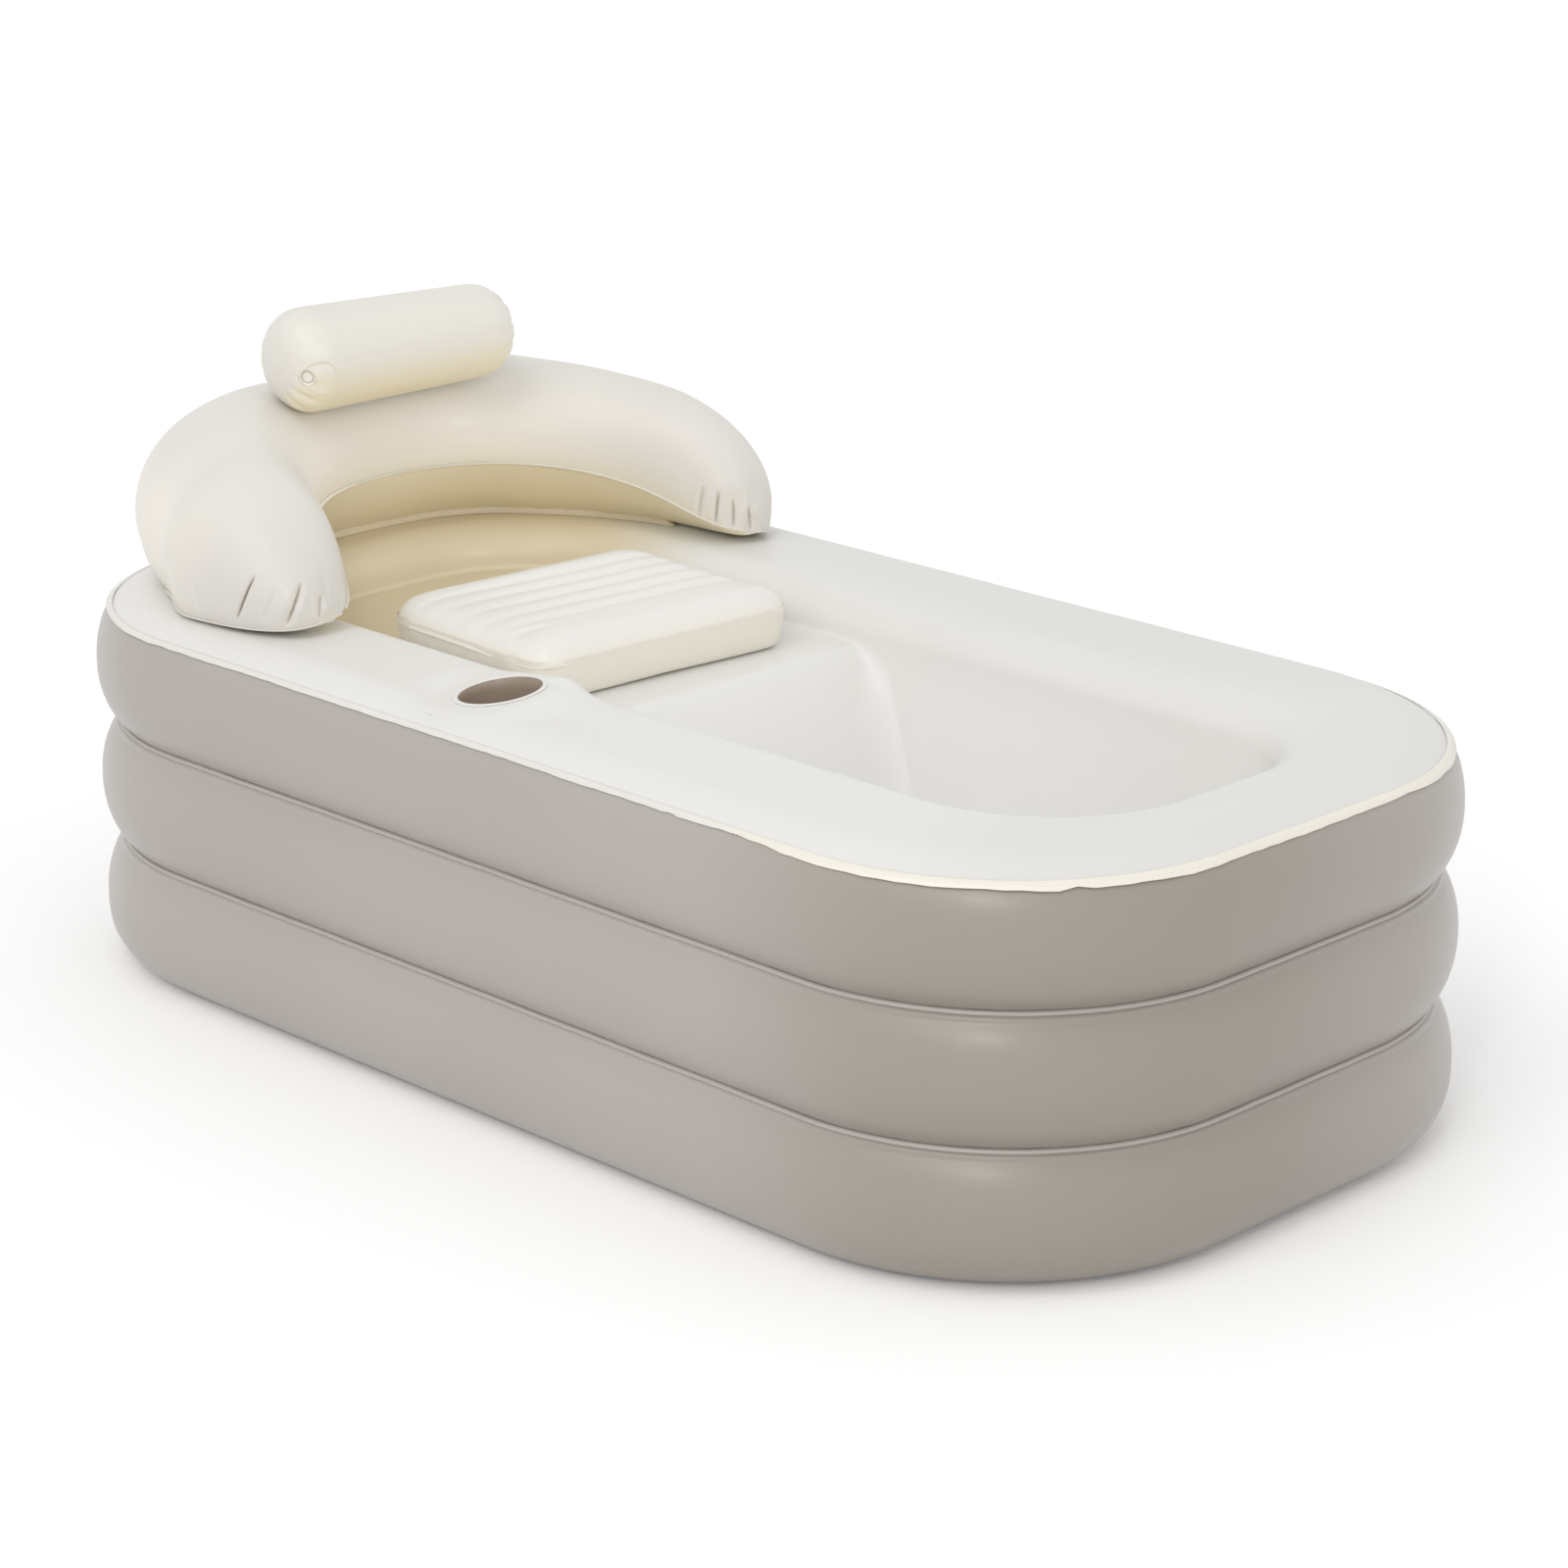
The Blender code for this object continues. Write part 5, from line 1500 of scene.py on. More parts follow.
@dataclass
class Backrest:
    """The horseshoe backrest: one fat chamber with a welded inner seam and pleated tips."""

    shape: TubShape = TUB
    seam_back_inset: float = 0.203
    seam_back_rise: float = 0.083
    tip_start: float = 0.74
    tip_end: float = 0.998
    tip_width_power: float = 2.6
    tip_middle: float = 0.58
    tip_rise: float = 0.015
    contact_shares: tuple = (0.0, 0.3, 0.5, 0.65, 0.8, 1.0)
    contact_insets: tuple = (0.050, 0.062, 0.090, 0.085, 0.062, 0.062)
    bulge_shares: tuple = (0.0, 0.3, 0.5, 0.65, 1.0)
    bulges: tuple = (0.036, 0.044, 0.036, 0.014, 0.010)
    bulge_rise: float = 0.063
    crest_shares: tuple = (0.0, 0.1, 0.2, 0.45, 0.65, 0.85, 1.0)
    crest_rises: tuple = (0.195, 0.196, 0.199, 0.187, 0.176, 0.157, 0.140)
    crest_place: float = 0.52
    weld_place: float = 0.50
    shoulder_power: float = 0.80
    ground: float = 0.3 * MM
    body_steps: int = 44
    tip_steps: int = 18
    lower_steps: int = 5
    arc_steps: int = 14
    under_steps: int = 6
    base_steps: int = 4
    under_swell: float = 5 * MM
    air: Air = Air(frames=14)
    fill: float = 0.95
    # The tips, which alone have pleats: from X, past Y to each side, below Z
    tips: tuple[float, float, float] = (-0.60, 0.22, 0.56)
    # Each pleat: start, end, depth, width and how dark its painted shade is
    pleats: tuple[Pleat, ...] = (
        Pleat((-0.3985, -0.3560, 0.508), (-0.4250, -0.3635, 0.452), 4.5 * MM, 1.3 * MM, 0.95),
        Pleat((-0.3620, -0.3195, 0.500), (-0.3675, -0.3395, 0.452), 4.5 * MM, 1.8 * MM, 0.62),
        Pleat((-0.3540, -0.2985, 0.484), (-0.3515, -0.3060, 0.458), 3.2 * MM, 1.8 * MM, 0.35),
        Pleat((-0.3800, -0.3390, 0.492), (-0.3930, -0.3500, 0.455), 1.6 * MM, 2.2 * MM),
        Pleat((-0.5427, -0.3637, 0.503), (-0.5161, -0.3700, 0.458), 2.0 * MM, 2.4 * MM),
        Pleat((-0.4860, -0.3750, 0.492), (-0.4800, -0.3700, 0.452), 1.4 * MM, 2.4 * MM),
        Pleat((-0.3330, 0.2600, 0.508), (-0.3390, 0.2560, 0.466), 3.4 * MM, 1.6 * MM, 0.18),
        Pleat((-0.3170, 0.2705, 0.503), (-0.3200, 0.2670, 0.460), 4.2 * MM, 1.5 * MM, 0.42),
        Pleat((-0.3020, 0.2815, 0.494), (-0.3030, 0.2810, 0.456), 3.8 * MM, 1.5 * MM, 0.30),
        Pleat((-0.2905, 0.2990, 0.484), (-0.2890, 0.3000, 0.452), 3.4 * MM, 1.6 * MM, 0.38),
        Pleat((-0.3480, 0.3720, 0.500), (-0.3400, 0.3720, 0.460), 2.2 * MM, 2.0 * MM),
        Pleat((-0.3100, 0.3500, 0.495), (-0.3060, 0.3480, 0.460), 2.2 * MM, 2.0 * MM))
    seam_lift: float = 0.3 * MM
    tip_seam_lift: float = 1.0 * MM
    tip_seam_reach: tuple[float, float] = (0.60, 0.996)
    tip_seam_steps: int = 45
    strip_reach: float = 0.80
    strip_steps: int = 220
    strip_room: float = 3.2 * MM
    strip_base: float = 0.4 * MM
    # Place across the strip, height, and how much of a gather shows there, all in millimetres
    strip_section: tuple = ((0, 0, 0), (0, 2.0, 0), (0.8, 4.6, 0.30), (2.6, 6.6, 0.65), (4.8, 7.2, 0.75),
                            (7.0, 6.2, 0.55), (8.6, 3.8, 0.25), (9.6, 1.6, 0), (12, 0.9, 0), (12, 0, 0))

    @property
    def seam_index(self) -> int:
        """Which point of a section is the inner seam."""
        return self.lower_steps + 2 * self.arc_steps

    def outer_place(self, distance: float) -> tuple[Vector, Vector, int]:
        """Place on the tub's outline, measured from the middle of the head end.

        Args:
            distance: Distance round the outline, below 0 on the near side.

        Returns:
            The place, its inward direction and the side of the tub.
        """
        half_width, radius = self.shape.half_width, self.shape.corner(0)
        side, along = (-1 if distance < 0 else 1), abs(distance)
        straight, arc = half_width - radius, radius * QUARTER
        if along < straight:
            return Vector((-self.shape.half_length, side * along)), Vector((1, 0)), side
        centre_x = radius - self.shape.half_length
        if along < straight + arc:
            turn = (along - straight) / radius
            outward = Vector((-math.cos(turn), side * math.sin(turn)))
            return Vector((centre_x, side * straight)) + outward * radius, -outward, side
        return Vector((centre_x + along - straight - arc, side * half_width)), Vector((0, -side)), side

    def arm_at(self, share: float) -> Arm:
        """The arm that a share belongs to, which is below 0 on the near one."""
        return ARMS[Side.NEAR if share < 0 else Side.FAR]

    def station(self, share: float) -> tuple[Vector, Vector, float]:
        """The contacts of one cross-section.

        Args:
            share: Share of the arm.

        Returns:
            Outer contact point, inner seam point and the seam's rise over the deck.
        """
        arm, along, radius = self.arm_at(share), abs(share), self.shape.corner(0)
        reach = self.shape.half_width - radius + radius * QUARTER + arm.length
        place, inward, side = self.outer_place(share * reach)
        contact = place + inward * smooth_read(along, self.contact_shares, self.contact_insets)
        turn = along * QUARTER
        from_head = arm.tip_inset - (arm.tip_inset - self.seam_back_inset) * math.cos(turn)
        seam = Vector((from_head - self.shape.half_length,
                       side * (self.shape.half_width - arm.side_inset) * math.sin(turn)))
        fall = (1 - math.cos(turn)) ** 2
        return contact, seam, self.seam_back_rise + (arm.tip_seam_rise - self.seam_back_rise) * fall

    def tip_size(self, share: float, power: float) -> float:
        """Size of a section that closes a tip off roundly."""
        past = max(share - self.tip_start, 0) / (1 - self.tip_start)
        return (1 - past ** power) ** (1 / power)

    def section(self, share: float) -> list[Vector]:
        """One closed cross-section, from the outer contact over the crest to the seam and back.

        Args:
            share: Share of the arm.

        Returns:
            Its points in space.
        """
        contact, seam, seam_rise = self.station(share)
        along, span, inward = abs(share), (seam - contact).length, (seam - contact).normalized()
        bulge = smooth_read(along, self.bulge_shares, self.bulges)
        crest_rise = smooth_read(along, self.crest_shares, self.crest_rises)
        crest, weld, ground = self.crest_place * span, self.weld_place * span, self.ground
        flat = [(-bulge * math.sin(angle), ground + (self.bulge_rise - ground) * (1 - math.cos(angle)))
                for angle in quarter_turn(self.lower_steps)[:-1]]
        flat += [((crest + bulge) * (1 - math.cos(angle)) - bulge,
                  self.bulge_rise + (crest_rise - self.bulge_rise) * math.sin(angle))
                 for angle in quarter_turn(self.arc_steps)]
        flat += [(crest + (span - crest) * math.sin(angle),
                  seam_rise + (crest_rise - seam_rise) * math.cos(angle) ** self.shoulder_power)
                 for angle in quarter_turn(self.arc_steps)[1:]]
        under = Vector((weld - span, ground - seam_rise))
        swell = Vector((-under.y, under.x)).normalized() * self.under_swell
        for step in range(1, self.under_steps + 1):
            part = step / self.under_steps
            sag = math.sin(math.pi * part)
            flat.append((span + under.x * part + swell.x * sag,
                         max(seam_rise + under.y * part + swell.y * sag, ground)))
        flat += [(weld * (1 - step / (self.base_steps + 1)), ground) for step in range(1, self.base_steps + 1)]
        width = self.tip_size(along, self.tip_width_power)
        size = self.tip_size(along, self.arm_at(share).tip_height_power)
        middle = span * self.tip_middle
        points = []
        for reach, rise in flat:
            plan = contact + inward * (middle + (reach - middle) * width)
            drawn = max(self.tip_rise + (rise - self.tip_rise) * size, ground)
            points.append(Vector((plan.x, plan.y, self.shape.deck_z + drawn)))
        return points

    def shares(self) -> list[float]:
        """Stations along the backrest from the near tip to the far tip.

        Returns:
            Their shares, below 0 on the near arm.
        """
        body = [self.tip_start * step / self.body_steps for step in range(-self.body_steps, self.body_steps + 1)]
        room = self.tip_end - self.tip_start
        tip = [self.tip_start + room * math.sin(angle) for angle in quarter_turn(self.tip_steps)[1:]]
        return [-share for share in reversed(tip)] + body + tip

    def fold(self, chamber: Object) -> None:
        """Draw the pleats into the chamber's tips and paint the shade of each fold into the attribute fold.

        Args:
            chamber: The chamber, smooth so far.
        """
        work = bmesh.new()
        work.from_mesh(chamber.data)
        surface = BVHTree.FromBMesh(work)
        work.free()
        laid = [pleat.laid(surface) for pleat in self.pleats]
        from_x, past_y, below_z = self.tips

        def on_tip(place: Vector) -> bool:
            """Whether a place is on a tip, which saves time."""
            return place.x > from_x and abs(place.y) > past_y and place.z < below_z

        for reach, cuts in ((12 * MM, 3), (4 * MM, 1)):
            refined(chamber, lambda place, reach=reach: on_tip(place) and any(
                pleat.measure(place)[0] < reach for pleat in laid), cuts)
        mesh = chamber.data
        # Painted shade in the folds, which the cream film's material reads from the attribute fold
        marks = [min(sum(pleat.shadow(vertex.co) for pleat in laid), 1) if on_tip(vertex.co) else 0.0
                 for vertex in mesh.vertices]
        mesh.attributes.new("fold", "FLOAT", "POINT").data.foreach_set("value", marks)
        moved = {vertex.index: vertex.co - vertex.normal * sum(pleat.dent(vertex.co) for pleat in laid)
                 for vertex in mesh.vertices if on_tip(vertex.co)}
        for index, place in moved.items():
            mesh.vertices[index].co = place
        mesh.update()

    def build(self, recess: Object) -> None:
        """Build the chamber, its seams and the strip that welds it down.

        Args:
            recess: Cutter of the valve's recess.
        """
        sections = [self.section(share) for share in self.shares()]
        chamber = skinned("backrest_chamber", sections, CREAM_FILM, capped=True)
        seam = [section[self.seam_index] for section in sections]
        on_seam = {tuple(round(value, 5) for value in place) for place in seam}
        pinned = [vertex.index for vertex in chamber.data.vertices
                  if vertex.co.z < self.shape.deck_z + 1.5 * MM
                  or tuple(round(value, 5) for value in vertex.co) in on_seam]
        self.air.fill(chamber, pinned)
        self.fold(subdivided(chamber))
        carve(chamber, [recess])
        kept(chamber, "cream_film", "backrest")
        lips = lip_tree(CREAM_FILM)
        inner = grown("backrest_inner_seam", [place + UP * self.seam_lift for place in seam[3:-3]], lips,
                      closed=False, Width=5.0 * MM, Thickness=2.2 * MM, Spacing=4 * MM)
        kept(inner, "cream_film", beside="backrest")
        start, end = self.tip_seam_reach
        for side in Side:
            path = [self.section(side.value * (start + (end - start) * math.sin(angle)))[1] + UP * self.tip_seam_lift
                    for angle in quarter_turn(self.tip_seam_steps)]
            path.append(self.section(side.value * 0.997)[self.seam_index])
            outer = grown(f"backrest_{side.name.lower()}_tip_seam", path, lips, closed=False, Width=4.0 * MM,
                          Thickness=2.0 * MM, Spacing=4 * MM)
            kept(outer, "cream_film", beside="backrest")
        self.build_strip()

    def build_strip(self) -> None:
        """Build the pressed strip under the overhang, with its raised bead and small gathers."""
        rows = []
        for step in range(-self.strip_steps, self.strip_steps + 1):
            contact, seam, _ = self.station(self.strip_reach * step / self.strip_steps)
            inward = (seam - contact).normalized()
            start = self.weld_place * (seam - contact).length + self.strip_room
            gather = waves(step * 4 * MM, 0.02, 5)
            end = bump_at(max(abs(step) - self.strip_steps + 8, 0), 6)
            row = []
            for across, height, gain in self.strip_section:
                plan = contact + inward * (start + across * MM)
                rise = self.strip_base + (height + gain * gather) * MM * end
                row.append((plan.x, plan.y, self.shape.deck_z + rise))
            rows.append(row)
        strip = skinned("backrest_weld_band", rows, STRIP_FILM, capped=True)
        kept(strip, "cream_film", "backrest_weld_strip")


@dataclass
class NeckRoll:
    """The loose neck roll: a tube of film with swollen ends, gathered where each end is welded in."""

    shape: TubShape = TUB
    inset: float = 0.216
    radius: float = 0.0580
    taper: float = 0.06
    half_length: float = 0.160
    turn_deg: float = -4.5
    end_round: float = 0.044
    end_drop: float = 0.74
    end_swell: float = 1.6 * MM
    valve_swing_deg: float = 48.0
    valve_dip_deg: float = 12.0
    segments: int = 120
    body_steps: int = 30
    end_steps: int = 22
    weld_room: float = 0.018
    gathers: int = 15
    gather: float = 2.8 * MM
    gather_reach: float = 0.017
    # Single deeper notches: place along the roll, angle round it, depth
    notches: tuple = ((0.146, 1.00, 4.2 * MM), (0.150, 0.35, 4.6 * MM), (0.146, -0.25, 3.6 * MM),
                      (-0.150, -1.20, 4.2 * MM), (-0.146, -0.75, 3.4 * MM), (-0.146, -1.75, 3.4 * MM))
    # The valve's round weld: place along the roll, angle round it, radius, and the skin's radius there
    mark: tuple[float, float, float, float] = (-0.1360, -0.17, 0.0185, 0.054)
    air: Air = Air(cap=1.5 * MM)
    fill: float = 0.95

    def __post_init__(self) -> None:
        """Read the roll's height from its CAD node and set its directions."""
        low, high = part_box("head_pillow")
        turn = math.radians(self.turn_deg)
        self.axis = Vector((-math.sin(turn), math.cos(turn), 0))
        self.side = Vector((math.cos(turn), math.sin(turn), 0))
        self.middle = Vector((self.inset - self.shape.half_length, 0, (low.z + high.z) / 2))

    def radius_at(self, reach: float) -> float:
        """Radius at a distance from the middle, with the taper and the rounded ends.

        Args:
            reach: Distance along the axis.

        Returns:
            The radius.
        """
        past = max(abs(reach) + self.end_round - self.half_length, 0) / self.end_round
        rounding = 1 - self.end_drop * (1 - math.sqrt(max(1 - past * past, 0)))
        return self.radius * (1 - self.taper * reach / self.half_length) * rounding

    def place(self, reach: float, angle: float, radius: float) -> Vector:
        """A point at a distance along the axis, an angle round it and a radius."""
        radial = self.side * math.cos(angle) + Vector((0, 0, math.sin(angle)))
        return self.middle + self.axis * reach + radial * radius

    def gathered(self, reach: float, angle: float) -> float:
        """How far the film is drawn in by the gathers at the two end welds.

        Args:
            reach: Distance along the axis.
            angle: Angle round it.

        Returns:
            The depth.
        """
        pull = 0.0
        # Gathers are deepest underneath, and deeper at the far end
        low = 0.55 + 0.45 * bump_at(math.remainder(angle + 1.9, 2 * math.pi), 1.3)
        for end, strength in ((-1, 0.8), (1, 1.25)):
            fade = bump_at(reach - end * (self.half_length - self.weld_room), self.gather_reach)
            fold = math.sin(self.gathers * angle + 2.2 * noise.noise(Vector((math.cos(angle), math.sin(angle), end))))
            pull += fade * low * strength * (0.5 + 0.5 * fold) ** 3
        cut = sum(depth * bump_at(math.remainder(angle - turn, 2 * math.pi) * 0.05, 4 * MM)
                  * bump_at(reach - along, 9 * MM) for along, turn, depth in self.notches)
        return self.gather * pull + cut

    def valve_seat(self) -> tuple[Vector, Vector]:
        """Where the roll's valve meets its skin.

        Returns:
            The place and where the valve faces.
        """
        dip, swing = math.radians(self.valve_dip_deg), math.radians(self.valve_swing_deg)
        radial = self.side * math.cos(dip) - UP * math.sin(dip)
        shoulder = self.half_length - self.end_round
        radius = self.radius_at(-shoulder)
        drop = radius * self.end_drop
        place = self.middle + radial * (radius - drop + drop * math.cos(swing))
        place -= self.axis * (shoulder + self.end_round * math.sin(swing))
        return place, radial * math.cos(swing) - self.axis * math.sin(swing)

    def build(self, recess: Object) -> None:
        """Build the roll and the round weld of its valve.

        Args:
            recess: Cutter of the valve's recess.
        """
        shoulder = self.half_length - self.end_round
        half = [shoulder * step / self.body_steps for step in range(self.body_steps)]
        half += [shoulder + self.end_round * math.sin(angle) for angle in quarter_turn(self.end_steps)]
        around = full_turn(self.segments)
        loops = [[self.place(reach, angle, self.radius_at(reach) - self.gathered(reach, angle)) for angle in around]
                 for reach in [-reach for reach in reversed(half[1:])] + half]
        near, far = ([[self.place(reach + math.copysign(self.end_swell * (1 - share ** 2), reach), angle,
                                  self.radius_at(reach) * share) for angle in around]
                      for share in (0.75, 0.5, 0.25, 0.0)] for reach in (-self.half_length, self.half_length))
        roll = skinned("neck_roll", near[::-1] + loops + far, CREAM_FILM)
        weld = self.half_length - self.weld_room
        self.air.fill(roll, [vertex.index for vertex in roll.data.vertices
                             if abs(abs((vertex.co - self.middle).dot(self.axis)) - weld) < 2.5 * MM])
        carve(subdivided(roll), [recess])
        kept(roll, "cream_film", "head_pillow")
        along, turn, size, skin = self.mark
        ring = []
        for angle in full_turn(96):
            reach = along + size * math.cos(angle)
            ring.append(self.place(reach, turn + size * math.sin(angle) / skin, self.radius_at(reach) + 0.1 * MM))
        mark = grown("neck_roll_valve_weld", ring, lip_tree(CREAM_FILM), Width=1.6 * MM, Thickness=1.1 * MM,
                     Spacing=1.5 * MM)
        kept(mark, "cream_film", beside="head_pillow")


@dataclass
class SeatCushion:
    """The loose seat cushion: a thick pad with five cross channels and a plain front lobe."""

    shape: TubShape = TUB
    setback: float = 0.188
    y: float = -0.012
    turn_deg: float = -4.0
    half_length: float = 0.146
    half_width: float = 0.188
    seam_rise: float = 0.040
    rest_gap: float = 0.3 * MM
    crown: float = 0.029
    channels: int = 5
    channel_depth: float = 5.6 * MM
    channel_width: float = 7.5 * MM
    channel_near: float = 0.16
    channel_gain: float = 1.12
    channel_fade: tuple[float, float] = (-0.85, 0.65)
    wander: float = 4 * MM
    ripple: float = 0.5 * MM
    front_lobe: float = 0.28
    side_draw: float = 0.005
    corner_draw: float = 0.014
    corner_power: int = 6
    edge_share: float = 0.16
    top_power: int = 9
    base_power: int = 22
    rest_gain: float = 1.15
    edge_lift: float = 8.0 * MM
    edge_from: float = 0.87
    edge_full: float = 0.98
    steps: int = 86
    crowding: float = 1.35
    air: Air = Air()
    fill: float = 0.9

    def place(self, x: float, y: float, z: float) -> Vector:
        """A place given in the cushion's own directions, from the middle of its seam.

        Args:
            x: Distance towards its front.
            y: Distance towards the far side.
            z: Height over the seam.

        Returns:
            The place in space.
        """
        turn = math.radians(self.turn_deg)
        return Vector((self.shape.seat_front_x - self.setback + x * math.cos(turn) - y * math.sin(turn),
                       self.y + x * math.sin(turn) + y * math.cos(turn),
                       self.shape.seat_z + self.rest_gap + self.seam_rise + z))

    def plan(self, u: float, v: float) -> tuple[float, float]:
        """Plan place of a point: corners rounded, sides drawn in.

        Args:
            u: Place along the cushion, from -1 to 1.
            v: Place across it, from -1 to 1.

        Returns:
            X and Y in its own directions.
        """
        corner = self.corner_draw * (abs(u) * abs(v)) ** self.corner_power
        half_length = self.half_length - self.side_draw * (1 - v * v)
        half_width = self.half_width - self.side_draw * (1 - u * u)
        return u * half_length - math.copysign(corner, u), v * half_width - math.copysign(corner, v)

    def groove(self, x: float, v: float) -> float:
        """Depth of the channels, which fade towards the near side.

        Args:
            x: Place along the cushion.
            v: Place across it, from -1 to 1.

        Returns:
            The depth, 1 for a full channel.
        """
        inner = 1 - self.edge_share
        ribbed = 2 * inner * (1 - self.front_lobe)
        depth = sum(bump_at(x - (ribbed * channel / self.channels - inner) * self.half_length, self.channel_width)
                    for channel in range(1, self.channels + 1))
        return depth * (self.channel_near + self.channel_gain * share_of(v, *self.channel_fade) ** 0.8)

    def fullness(self, u: float, v: float, power: int) -> float:
        """How full the cushion is at a place of its plan."""
        return math.sqrt(max(1 - abs(u) ** power, 0)) * math.sqrt(max(1 - abs(v) ** power, 0))

    def build(self, recess: Object) -> None:
        """Build the cushion.

        Args:
            recess: Cutter of the valve's recess.
        """
        # Rows crowd towards the edges, where the film turns
        even = [2 * step / self.steps - 1 for step in range(self.steps + 1)]
        spread = [math.copysign(1 - (1 - abs(share)) ** self.crowding, share) for share in even]
        top, base = [], []
        for u, v in ((u, v) for u in spread for v in spread):
            x, y = self.plan(u, v)
            wander = self.wander * noise.noise(Vector((x * 9, y * 11, 8.0)))
            dip = self.channel_depth * self.groove(x + wander, v)
            ripple = self.ripple * noise.noise(Vector((x * 22, y * 14, 5.0)))
            top.append(self.place(x, y, (self.crown - dip + ripple) * self.fullness(u, v, self.top_power)))
            lift = self.edge_lift * share_of(max(abs(u), abs(v)), self.edge_from, self.edge_full)
            rest = min(self.fullness(u, v, self.base_power) * self.rest_gain, 1)
            base.append(self.place(x, y, lift - self.seam_rise * rest))
        faces = grid_faces(len(spread), len(spread), wrap_columns=False)
        faces += [tuple(len(top) + index for index in reversed(face)) for face in faces]
        pad = piece_from("seat_cushion_pad", np.array(top + base), faces, CUSHION_FILM)
        turn, middle = math.radians(self.turn_deg), self.place(0, 0, 0)
        pinned = []
        for vertex in pad.data.vertices:
            local = vertex.co - middle
            x = local.x * math.cos(turn) + local.y * math.sin(turn)
            if vertex.co.z < self.shape.seat_z + 1 * MM or (local.z > 0 and self.groove(x, 0.25) > 0.93):
                pinned.append(vertex.index)
        self.air.fill(pad, pinned)
        carve(subdivided(pad), [recess])
        kept(pad, "cream_film", "seat_cushion")


# Fittings


def grip(name: str, matrix: Matrix, radius: float, height: float, cap: str, **sizes: float) -> None:
    """Set the small ribs of a cap's grip round it.

    Args:
        name: Name of the piece.
        matrix: Where the cap is.
        radius: Radius of the ring of ribs.
        height: Its height.
        cap: CAD node of the cap, which the ribs go with.
        sizes: Sizes of the ribs.
    """
    circle = [matrix @ Vector((radius * math.cos(angle), radius * math.sin(angle), height))
              for angle in full_turn(120)]
    kept(grown(name, circle, rib_tree(CAP_PLASTIC), **sizes), "cap_plastic", beside=cap)


@dataclass
class RingValve:
    """One ring's air valve in its recess: welded base, plug and ribbed cap."""

    half_length: float = TUB.half_length
    y: float = 0.1498
    recess_radius: float = 0.0230
    recess_depth: float = 0.0200
    neck_radius: float = 0.0127
    neck_length: float = 0.0140
    flange: float = 0.0040
    flange_flat: float = 5 * MM
    flange_fall: float = 1.6 * MM
    collar: float = 0.0050
    bore: float = 0.0080
    plug_head: float = 0.0030
    plug_length: float = 0.0170
    cap_radius: float = 0.0172
    cap_top: float = 0.0024
    cap_edge: float = 1.2 * MM
    groove_depth: float = 0.5 * MM
    gap: float = 0.3 * MM

    def matrix(self, height: float) -> Matrix:
        """Where the valve of a ring sits."""
        return aim((-1, 0, 0), (self.recess_depth - self.half_length, self.y, height))

    def cutter(self, height: float) -> Object:
        """The recess that the valve needs in its ring.

        Args:
            height: Height of its axis.

        Returns:
            The closed body.
        """
        mouth, neck, end = self.recess_depth + 0.010, self.neck_radius + self.gap, -self.neck_length - self.gap
        return turned("ring valve cutter", [(0, mouth), (self.recess_radius, mouth), (self.recess_radius, 0),
                                            (neck, 0), (neck, end), (0, end)], self.matrix(height))

    def build(self, ring: str, height: float) -> None:
        """Build the valve's base, plug and cap.

        Args:
            ring: The ring that it belongs to.
            height: Height of its axis.
        """
        place, gap, bore, neck = self.matrix(height), self.gap, self.bore, self.neck_radius
        flange = self.flange + gap
        collar = flange + self.collar
        wide = self.recess_radius - gap
        base = turned(f"{ring}_valve_body", [
            (bore, collar), (neck, collar), (neck, flange), (self.recess_radius - self.flange_flat, flange),
            (wide, flange - self.flange_fall), (wide, gap), (neck, gap), (neck, -self.neck_length),
            (bore, -self.neck_length)], place, VALVE_PLASTIC, soften=0.4 * MM, closed=True)
        kept(base, "valve_plastic", f"{ring}_valve_base")
        low, shank = collar + gap, bore - gap
        top = low + self.plug_head
        plug = turned(f"{ring}_valve_inner_plug", [
            (0, top), (neck, top), (neck, low), (shank, low), (shank, low - self.plug_length),
            (0, low - self.plug_length)], place, VALVE_PLASTIC, soften=0.4 * MM)
        kept(plug, "valve_plastic", f"{ring}_valve_plug")
        cap, low, inside, edge = self.cap_radius, flange + gap, top + gap, self.cap_edge
        top = inside + self.cap_top
        groove = top - self.groove_depth
        piece = turned(f"{ring}_valve_outer_cap", [
            (0, top), (cap * 0.62, top), (cap * 0.66, groove), (cap * 0.74, groove), (cap * 0.78, top),
            (cap - edge, top), (cap, top - edge), (cap, low), (neck + gap, low), (neck + gap, inside), (0, inside)],
            place, CAP_PLASTIC, soften=0.3 * MM)
        kept(piece, "cap_plastic", f"{ring}_valve_cap")
        grip(f"{ring}_valve_cap_grip", place, cap + 0.1 * MM, (low + top) / 2 - 0.4 * MM, f"{ring}_valve_cap",
             Spacing=3.4 * MM, Length=1.2 * MM, Width=1.0 * MM, Height=1.2 * MM)


